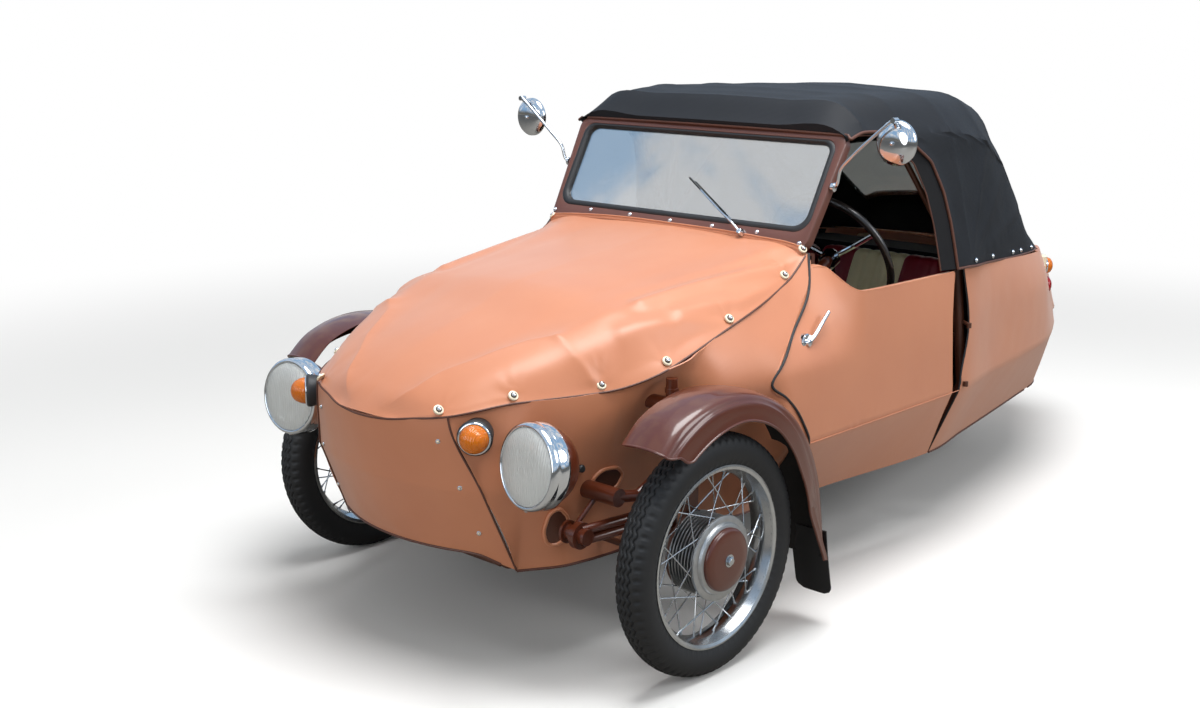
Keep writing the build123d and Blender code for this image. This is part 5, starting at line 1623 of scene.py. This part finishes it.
# Wiper: spindle, sprung arm and blade, on the driver's side
wiper_root, wiper_tip = on_screen(250, 24, 15), on_screen(70, 130, 12)
WIPER_SPINDLE = ((-2, 11), (6, 11), (12, 8), (16, 7.5), (18, 4))
wiper_line = [
    wiper_root + OUT * 14, wiper_root + OUT * 17 + UP * 20 + [-30, 0, 0],
    (wiper_root + wiper_tip) / 2 + OUT * 15, wiper_tip + OUT * 10,
]
wipe = Stock().turned(WIPER_SPINDLE, wiper_root, OUT, 20)
wipe.rod(through(wiper_line, 30), [3.4] * 10 + [2.6] * 20, 10)
wipe.piece("wiper_arm", CHROME, "body", "chrome_trim", ["wiper"], crisp=40)
blade_line = [wiper_tip + (wiper_root - wiper_tip) * t for t in (-0.32, 0.0, 0.45)]
blade = Stock().rod(through([p + OUT * 5 for p in blade_line], 20), 3.0, 8)
blade.rod(through([p + OUT * 1.5 for p in blade_line], 20), 1.6, 6)
blade.piece("wiper_blade", SEAL, "body", "black_plastic")

# Door handles: boss, plate and tapering lever
HANDLE_AT, HANDLE_OUT = (560, 455, 702), (1, 0, 0.05)
HANDLE_BOSS = ((-22, 13), (-14, 16), (-10, 16), (-6, 12), (6, 10.5), (12, 9), (14, 5))
HANDLE_PLATE = ((-8, 23), (3, 23), (6, 20.5), (6, 14))
LEVER_PATH = ((566, 455, 702), (569, 472, 714), (567, 505, 739), (562, 545, 766))
handle = Stock().turned(HANDLE_BOSS, HANDLE_AT, HANDLE_OUT, 24)
handle.turned(HANDLE_PLATE, HANDLE_AT, HANDLE_OUT, 32)
taper = np.interp(np.linspace(0, 1, 24), [0, 0.3, 1], [6.5, 5.6, 5.0])
handle.rod(through(LEVER_PATH, 24), taper, 14)
for side, turn in SIDES_OF_CAR:
    on_side(handle, turn).piece(
        "door_lever_" + side, CHROME, "door_" + side, "chrome_trim", ["door_handle_" + side], crisp=35
    )

# Tail lamps: pale bracket, amber dome over a red one
TAIL_SPLAY = math.radians(42)
TAIL_OUT = np.array([math.sin(TAIL_SPLAY), math.cos(TAIL_SPLAY), 0])
TAIL_AT = np.array([352, 2088, 632.0])
TAIL_ALONG = np.array([TAIL_OUT[1], -TAIL_OUT[0], 0])
BRACKET_SIZE = (58, 30, 150)
bracket_axes = np.stack([TAIL_ALONG, TAIL_OUT, [0, 0, 1]], axis=1)
bracket = Stock().block(TAIL_AT - TAIL_OUT * 6, BRACKET_SIZE, bracket_axes, 6)
bracket.with_mirror().piece(
    "tail_lamp_brackets", BUTTON, "body", "chrome_trim", ["tail_lamps"], crisp=30
)
for name, finish, rise, radius, slot in (
    ("tail_amber_domes", AMBER, 36, 27, "amber_plastic"), ("tail_red_domes", RED, -30, 30, "red_plastic"),
):
    spot = TAIL_AT + np.array([0, 0, rise]) + TAIL_OUT * 9
    dome_profile = [(-4, radius), (10, radius), (18, radius * 0.9), (24, radius * 0.6), (26, 1)]
    dome = Stock().turned(dome_profile, spot, TAIL_OUT, 40)
    dome.with_mirror().piece(name, finish, "body", slot, crisp=40)
    ring = Stock().turned([(-2, radius + 3), (3, radius + 3), (5, radius)], spot, TAIL_OUT, 40)
    ring.with_mirror().piece(name + "_rims", CHROME, "body", "chrome_trim", crisp=40)

# Steering wheel on its raked column
HUB_AT = np.array([300, 930, 830.0])
COLUMN_RAKE = math.radians(25)
COLUMN = np.array([0, math.cos(COLUMN_RAKE), math.sin(COLUMN_RAKE)])
ACROSS = np.array([1.0, 0, 0])
RISING = np.cross(COLUMN, ACROSS)
RIM_R, RIM_THICK, ARM_R = 190, 10.5, 7
HUB_PROFILE = ((-28, 20), (-26, 27), (4, 27), (8, 24), (10, 10))
HORN_PROFILE = ((8, 16), (13, 14), (15, 6), (15, 1))


def on_wheel(angle, radius, out=0.0):
    a = math.radians(angle)
    return HUB_AT + ACROSS * radius * math.cos(a) + RISING * radius * math.sin(a) + COLUMN * out


wheel_rim = Stock().rod([on_wheel(a, RIM_R) for a in range(0, 360, 5)], RIM_THICK, 16, closed=True)
wheel_rim.piece("steering_rim", PHENOLIC, "steering_wheel", "black_plastic", ["steering_wheel"])
arms = Stock()
for a in (90, 210, 330):
    arms.rod(through([on_wheel(a, 14, -6), on_wheel(a, 90, -12), on_wheel(a, 184, -2)], 20), ARM_R, 10)
arms.turned(HUB_PROFILE, HUB_AT, COLUMN, 32)
arms.piece("steering_spokes", CHROME, "steering_wheel", "chrome_trim", crisp=35)
horn = Stock().turned(HORN_PROFILE, HUB_AT, COLUMN, 24)
horn.piece("horn_button", PHENOLIC, "steering_wheel", "black_plastic")

# Seats: two cushions and two backs, each a rounded block blown up as cloth and then sewn into channels
SEAT_X, PLEAT, CENTRE_HALF = 236, 44, 88
SWELL_ROOM, PAD_ROUND, VOXEL, SEAM_WIDTH, STUFFING_STEPS = 9, 32, 11, 24, 20
CHANNEL_DEPTH, EDGE_SEAM_DEPTH, RED_SEAM_DEPTH, CROSS_SEAM_DEPTH = 8.5, 6.0, 2.2, 5.0
RED_SEAMS_X = (138, 178)


def evaluated_mesh(obj):
    return bpy.data.meshes.new_from_object(obj.evaluated_get(bpy.context.evaluated_depsgraph_get()))


def places_of(mesh):
    out = np.empty(len(mesh.vertices) * 3)
    mesh.vertices.foreach_get("co", out)
    return out.reshape(-1, 3) / MM


def put_places(mesh, points):
    mesh.vertices.foreach_set("co", (np.asarray(points) * MM).ravel())
    mesh.update()


def stuffed(name, size, cap):
    """A pad round the origin: remeshed, swollen by pressure up to the cap with its edge seams held,
    and smoothed."""
    half = np.array(size) / 2 - SWELL_ROOM
    work = bmesh.new()
    bmesh.ops.create_cube(work, size=2.0, matrix=Matrix.Diagonal((*(half * MM), 1)))
    bmesh.ops.bevel(
        work, geom=work.edges[:], offset=PAD_ROUND * MM, segments=4, profile=0.5, affect="EDGES"
    )
    mesh = bpy.data.meshes.new(name)
    work.to_mesh(mesh)
    work.free()
    obj = bpy.data.objects.new(name, mesh)
    bpy.context.scene.collection.objects.link(obj)
    voxels = obj.modifiers.new("voxels", "REMESH")
    voxels.mode = "VOXEL"
    voxels.voxel_size = VOXEL * MM
    obj.data = evaluated_mesh(obj)
    obj.modifiers.clear()
    start = places_of(obj.data)
    # Seams run where two faces of the block meet: those points are held, the faces between them swell
    near = np.sort(half - np.abs(start), axis=1)
    held = (near[:, 0] + near[:, 1]) < SEAM_WIDTH
    group = obj.vertex_groups.new(name="seams")
    group.add([int(i) for i in np.flatnonzero(held)], 1.0, "REPLACE")
    cloth = obj.modifiers.new("stuffing", "CLOTH")
    cloth.settings.quality = 4
    cloth.settings.mass = 0.3
    cloth.settings.tension_stiffness = 8
    cloth.settings.compression_stiffness = 8
    cloth.settings.bending_stiffness = 0.3
    cloth.settings.vertex_group_mass = "seams"
    cloth.settings.use_pressure = True
    cloth.settings.uniform_pressure_force = 4
    cloth.settings.effector_weights.gravity = 0
    for step in range(1, STUFFING_STEPS + 1):
        bpy.context.scene.frame_set(step)
    swollen = evaluated_mesh(obj)
    moved = places_of(swollen)
    bpy.context.scene.frame_set(1)
    obj.modifiers.clear()
    shift = moved - start
    length = np.linalg.norm(shift, axis=1, keepdims=True)
    shift *= np.minimum(1, cap / np.maximum(length, 1e-6))
    put_places(obj.data, start + shift)
    finer = obj.modifiers.new("finer", "SUBSURF")
    finer.levels = 1
    obj.data = evaluated_mesh(obj)
    obj.modifiers.clear()
    obj.vertex_groups.clear()
    return obj


def sewn(obj, faces_of, across_of):
    """Channels over the cream middle, a seam on either side of it, and faint seams in the red parts."""
    points = places_of(obj.data)
    normals = np.empty(len(points) * 3)
    obj.data.vertices.foreach_get("normal", normals)
    normals = normals.reshape(-1, 3)
    weight = faces_of(normals, points)
    x = points[:, 0]
    border = np.abs(np.abs(x) - CENTRE_HALF) < 3.2
    points[border, 0] = np.sign(x[border]) * CENTRE_HALF
    x = np.abs(points[:, 0])
    inside = x <= CENTRE_HALF + 1
    groove = (1 - np.abs(np.sin(np.pi * x / PLEAT))) ** 1.6 * CHANNEL_DEPTH * inside
    groove += EDGE_SEAM_DEPTH * hump(x, CENTRE_HALF, 7) * ~inside
    groove += RED_SEAM_DEPTH * sum(hump(x, seam_x, 6) for seam_x in RED_SEAMS_X)
    groove = np.maximum(groove, CROSS_SEAM_DEPTH * hump(across_of(points), 0, 6))
    put_places(obj.data, points - normals * (groove * weight)[:, None])


def seat_piece(name, size, place, tilt, faces_of, across_of, cap, node):
    """One pad on each side; the second is the first one moved across."""
    first = stuffed(name + "_left", size, cap)
    sewn(first, faces_of, across_of)
    second = bpy.data.objects.new(name + "_right", first.data.copy())
    bpy.context.scene.collection.objects.link(second)
    for obj, side in ((first, 1), (second, -1)):
        mesh = obj.data
        mesh.materials.clear()
        # Both leathercloths are painted lighter than their own colours, for the light falling into the
        # cockpit
        for finish in (SEAT_RED_LIGHTENED, SEAT_CREAM_LIGHTENED):
            mesh.materials.append(finish)
        local = places_of(mesh)
        for face in mesh.polygons:
            centre = local[list(face.vertices)].mean(0)
            normal = np.array(face.normal)[None, :]
            cream = abs(centre[0]) < CENTRE_HALF and faces_of(normal, centre[None, :])[0] > 0.5
            face.material_index = 1 if cream else 0
            face.use_smooth = True
        a = math.radians(tilt)
        x, along, up = local.T
        ahead = along * math.cos(a) + up * math.sin(a)
        turned = np.stack([x, ahead, up * math.cos(a) - along * math.sin(a)], axis=1)
        turned += [side * place[0], place[1], place[2]]
        put_places(mesh, metres(turned) / MM)
        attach(obj, "body")
        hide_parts(node)


# The pads' sewn faces look up and forwards; only the cushion has a seam across it, on its top
seat_piece(
    "seat_cushion", (450, 390, 150), (SEAT_X, 972, 430), 0,
    lambda n, p: ease((n[:, 2] - n[:, 1] * 0.8 - 0.3) / 0.3) * (p[:, 2] > -45),
    lambda p: np.where(p[:, 2] > 30, np.abs(p[:, 1] - 150), 99.0), 13, "seat_cushions",
)
seat_piece(
    "seat_back", (450, 130, 372), (SEAT_X, 1268, 622), 18,
    lambda n, p: ease((n[:, 2] * 0.9 - n[:, 1] - 0.25) / 0.3) * (p[:, 2] > -160),
    lambda p: np.full(len(p), 99.0), 13, "seat_backs",
)

# Instruments on the board: a dial in its bezel and two switches
BOARD_OUT, DIAL_AT = (0, 1, 0.1), (300, 650, 835)
bezels = Stock()
for profile, place, sides in (
    (((-2, 46), (6, 46), (8, 43), (6, 41)), DIAL_AT, 40),
    (((-2, 14), (10, 14), (12, 11)), (180, 650, 830), 24),
    (((-2, 10), (14, 10), (18, 8)), (120, 650, 830), 20),
):
    bezels.turned(profile, place, BOARD_OUT, sides)
bezels.piece("dashboard_bezels", CHROME, "body", "chrome_trim", crisp=35)
dial = Stock().turned([(0, 41), (4, 41), (4.5, 40)], DIAL_AT, BOARD_OUT, 40)
dial.piece("dashboard_dial", PHENOLIC, "body", "black_plastic")

# Cockpit lining: side walls, the panel behind the seats, and the well under the deck
WALL_FRONT, WALL_BACK, WALL_FOOT, WALL_IN = 1225, 1900, 300, 34
PANEL_S, PANEL_LEAN, PANEL_TALL, PANEL_HALF, PANEL_TAPER = 1420, 90, 470, 450, 10
WELL_FRONT, WELL_BACK, WELL_Z, WELL_FALL, WELL_HALF, WELL_TAPER = 1510, 1930, 770, 0.12, 460, 0.2


def level_row(half, s, z):
    return [(x, s, z) for x in np.linspace(-half, half, 16)]


wall_s, wall_z = patch(
    level(WALL_FRONT), level(WALL_BACK), level(WALL_FOOT), lambda s: rear_top_z(s) - 6, 20, 10
)
wall = skin_grid(wall_s, wall_z) - [WALL_IN, 0, 0]
panel = np.array([
    level_row(PANEL_HALF - PANEL_TAPER * v, PANEL_S + PANEL_LEAN * v, WALL_FOOT + PANEL_TALL * v)
    for v in np.linspace(0, 1, 8)
])
well = np.array([
    level_row(WELL_HALF - (s - WELL_FRONT) * WELL_TAPER, s, WELL_Z - (s - WELL_FRONT) * WELL_FALL)
    for s in np.linspace(WELL_FRONT, WELL_BACK, 8)
])
lining = Stock().sheet(wall, 2.0, HEART)
lining.sheet(wall * FAR_SIDE, 2.0, HEART)
lining.sheet(panel, 3.0, (0, 2000, 500))
lining.sheet(well, 3.0, (0, 1700, 300))
lining = lining.piece("cockpit_lining", LINING, "body", "hood_fabric")
stretched(lining)
CARPET_AT, CARPET_SIZE = (0, 560, 293), (700, 1060, 4)
carpet = Stock().block(CARPET_AT, CARPET_SIZE, None, 1).piece("floor_carpet", LINING, "body", "floor_sheet")

# Finishes of the CAD pieces that stay in view
STAYING = (
    (FRAME_PAINT, ("chassis_tubes", "swing_arm", "hood_bows", "track_rod", "knuckle_left", "knuckle_right")),
    (FLOOR_SHEET, ("floor_pan",)),
    (CAST, ("engine_block",)),
    (ENAMEL, ("rear_mudguard", "dashboard", "front_arms")),
)
for finish, nodes in STAYING:
    for node in nodes:
        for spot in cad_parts[node].material_slots:
            spot.material = finish

# Floor, world, lamps and camera

# Matt floor: pale for the camera, fading far from the car into the white of the backdrop, and the grey of
# real paving for the light that it throws back
FLOOR_HALF, FADE_FROM, FADE_TO = 40.0, 1.9, 5.5
floor_material = bpy.data.materials.new("pale_studio_floor")
floor_material.use_nodes = True
tree = floor_material.node_tree
tree.nodes.clear()
eye = add(tree, "ShaderNodeLightPath").outputs["Is Camera Ray"]
tone = add(tree, "ShaderNodeMix", {"data_type": "RGBA", 6: linear("94918B"), 7: linear("EAEAE9")}, {0: eye})
paint = add(tree, "ShaderNodeBsdfPrincipled", {"Roughness": 0.9}, {"Base Color": tone.outputs[2]})
spot = add(tree, "ShaderNodeTexCoord").outputs["Object"]
away = add(tree, "ShaderNodeVectorMath", {"operation": "LENGTH"}, {0: spot})
far = add(
    tree, "ShaderNodeMapRange",
    {"interpolation_type": "SMOOTHSTEP", "From Min": FADE_FROM, "From Max": FADE_TO},
    {"Value": away.outputs["Value"]},
)
share = add(tree, "ShaderNodeMath", {"operation": "MULTIPLY"}, {0: far.outputs[0], 1: eye})
white = add(tree, "ShaderNodeEmission", {"Color": linear("FFFFFF"), "Strength": 1.0})
both = add(tree, "ShaderNodeMixShader", None, {0: share.outputs[0], 1: paint.outputs[0], 2: white.outputs[0]})
out = add(tree, "ShaderNodeOutputMaterial", None, {"Surface": both.outputs[0]})
floor_mesh = bpy.data.meshes.new("studio_floor")
corners = [(x * FLOOR_HALF, y * FLOOR_HALF, 0) for x, y in ((-1, -1), (1, -1), (1, 1), (-1, 1))]
floor_mesh.from_pydata(corners, [], [(0, 1, 2, 3)])
floor_mesh.materials.append(floor_material)
floor = bpy.data.objects.new("studio_floor", floor_mesh)
bpy.context.scene.collection.objects.link(floor)

# The camera sees plain white, matt surfaces are lit evenly, and bright ones mirror a pale sky with soft
# clouds over a darker strip near the horizon
WORLD_LIGHT = 0.42
CLOUDS = {"Scale": 6.5, "Detail": 7.0, "Roughness": 0.58, "Distortion": 0.6}
PUFFS_FROM, PUFFS_TO, HORIZON_TOP, GROUND_BELOW = 0.46, 0.60, 0.13, -0.01
world = bpy.data.worlds.new("soft_studio")
bpy.context.scene.world = world
world.use_nodes = True
tree = world.node_tree
tree.nodes.clear()
path = add(tree, "ShaderNodeLightPath")
up = add(tree, "ShaderNodeTexCoord").outputs["Generated"]
height = add(tree, "ShaderNodeSeparateXYZ", None, {0: up}).outputs["Z"]
clouds = add(tree, "ShaderNodeTexNoise", CLOUDS, {"Vector": up})
puffs = add(
    tree, "ShaderNodeMapRange",
    {"interpolation_type": "SMOOTHSTEP", "From Min": PUFFS_FROM, "From Max": PUFFS_TO},
    {"Value": clouds.outputs["Fac"]},
)
sky = add(
    tree, "ShaderNodeMix", {"data_type": "RGBA", 6: linear("A0C6EC"), 7: linear("FFFFFF")},
    {0: puffs.outputs[0]},
)
rise = add(
    tree, "ShaderNodeMapRange",
    {"interpolation_type": "SMOOTHSTEP", "From Min": 0.0, "From Max": HORIZON_TOP},
    {"Value": height},
)
mirrored = add(
    tree, "ShaderNodeMix", {"data_type": "RGBA", 6: linear("6F6C64")},
    {0: rise.outputs[0], 7: sky.outputs[2]},
)
below = add(tree, "ShaderNodeMath", {"operation": "LESS_THAN", 1: GROUND_BELOW}, {0: height})
mirrored = add(
    tree, "ShaderNodeMix", {"data_type": "RGBA", 7: linear("8C8A86")},
    {0: below.outputs[0], 6: mirrored.outputs[2]},
)
lit = add(tree, "ShaderNodeBackground", {"Color": linear("F1F1F0"), "Strength": WORLD_LIGHT})
glossy = add(tree, "ShaderNodeBackground", {"Strength": 1.0}, {"Color": mirrored.outputs[2]})
shown = add(tree, "ShaderNodeBackground", {"Color": linear("FFFFFF"), "Strength": 1.0})
light = add(
    tree, "ShaderNodeMixShader", None,
    {0: path.outputs["Is Glossy Ray"], 1: lit.outputs[0], 2: glossy.outputs[0]},
)
seen = add(
    tree, "ShaderNodeMath", {"operation": "MAXIMUM"},
    {0: path.outputs["Is Camera Ray"], 1: path.outputs["Is Transmission Ray"]},
)
light = add(
    tree, "ShaderNodeMixShader", None, {0: seen.outputs[0], 1: light.outputs[0], 2: shown.outputs[0]}
)
add(tree, "ShaderNodeOutputWorld", None, {"Surface": light.outputs[0]})


def soft_lamp(name, place, target, size, power):
    """A round lamp at a place in metres, turned to its target."""
    data = bpy.data.lights.new(name, "AREA")
    data.shape = "DISK"
    data.size = size
    data.energy = power
    lamp = bpy.data.objects.new(name, data)
    lamp.location = place
    lamp.rotation_euler = (Vector(target) - Vector(place)).to_track_quat("-Z", "Y").to_euler()
    bpy.context.scene.collection.objects.link(lamp)


soft_lamp("top_lamp", (0.9, -0.6, 5.2), (0, 0, 0.5), 3.6, 320)
soft_lamp("side_lamp", (4.6, 0.8, 3.0), (0, 0.2, 0.6), 2.4, 95)
soft_lamp("front_lamp", (0.4, -5.5, 1.9), (0, -1.0, 0.4), 2.8, 60)

# The camera stands and looks as the photograph's does
CAMERA_AT, CAMERA_LENS = (2.669, FRONT_Y - 2.5235, 1.5188), 44.708
CAMERA_DOWN, CAMERA_TURN = 13.175, 43.377
camera_data = bpy.data.cameras.new("camera")
camera = bpy.data.objects.new("camera", camera_data)
bpy.context.scene.collection.objects.link(camera)
camera_data.lens = CAMERA_LENS
camera_data.sensor_width = 36.0
camera.location = CAMERA_AT
camera.rotation_euler = (math.radians(90 - CAMERA_DOWN), 0, math.radians(CAMERA_TURN))
bpy.context.scene.camera = camera
bpy.context.scene.view_settings.view_transform = "Standard"
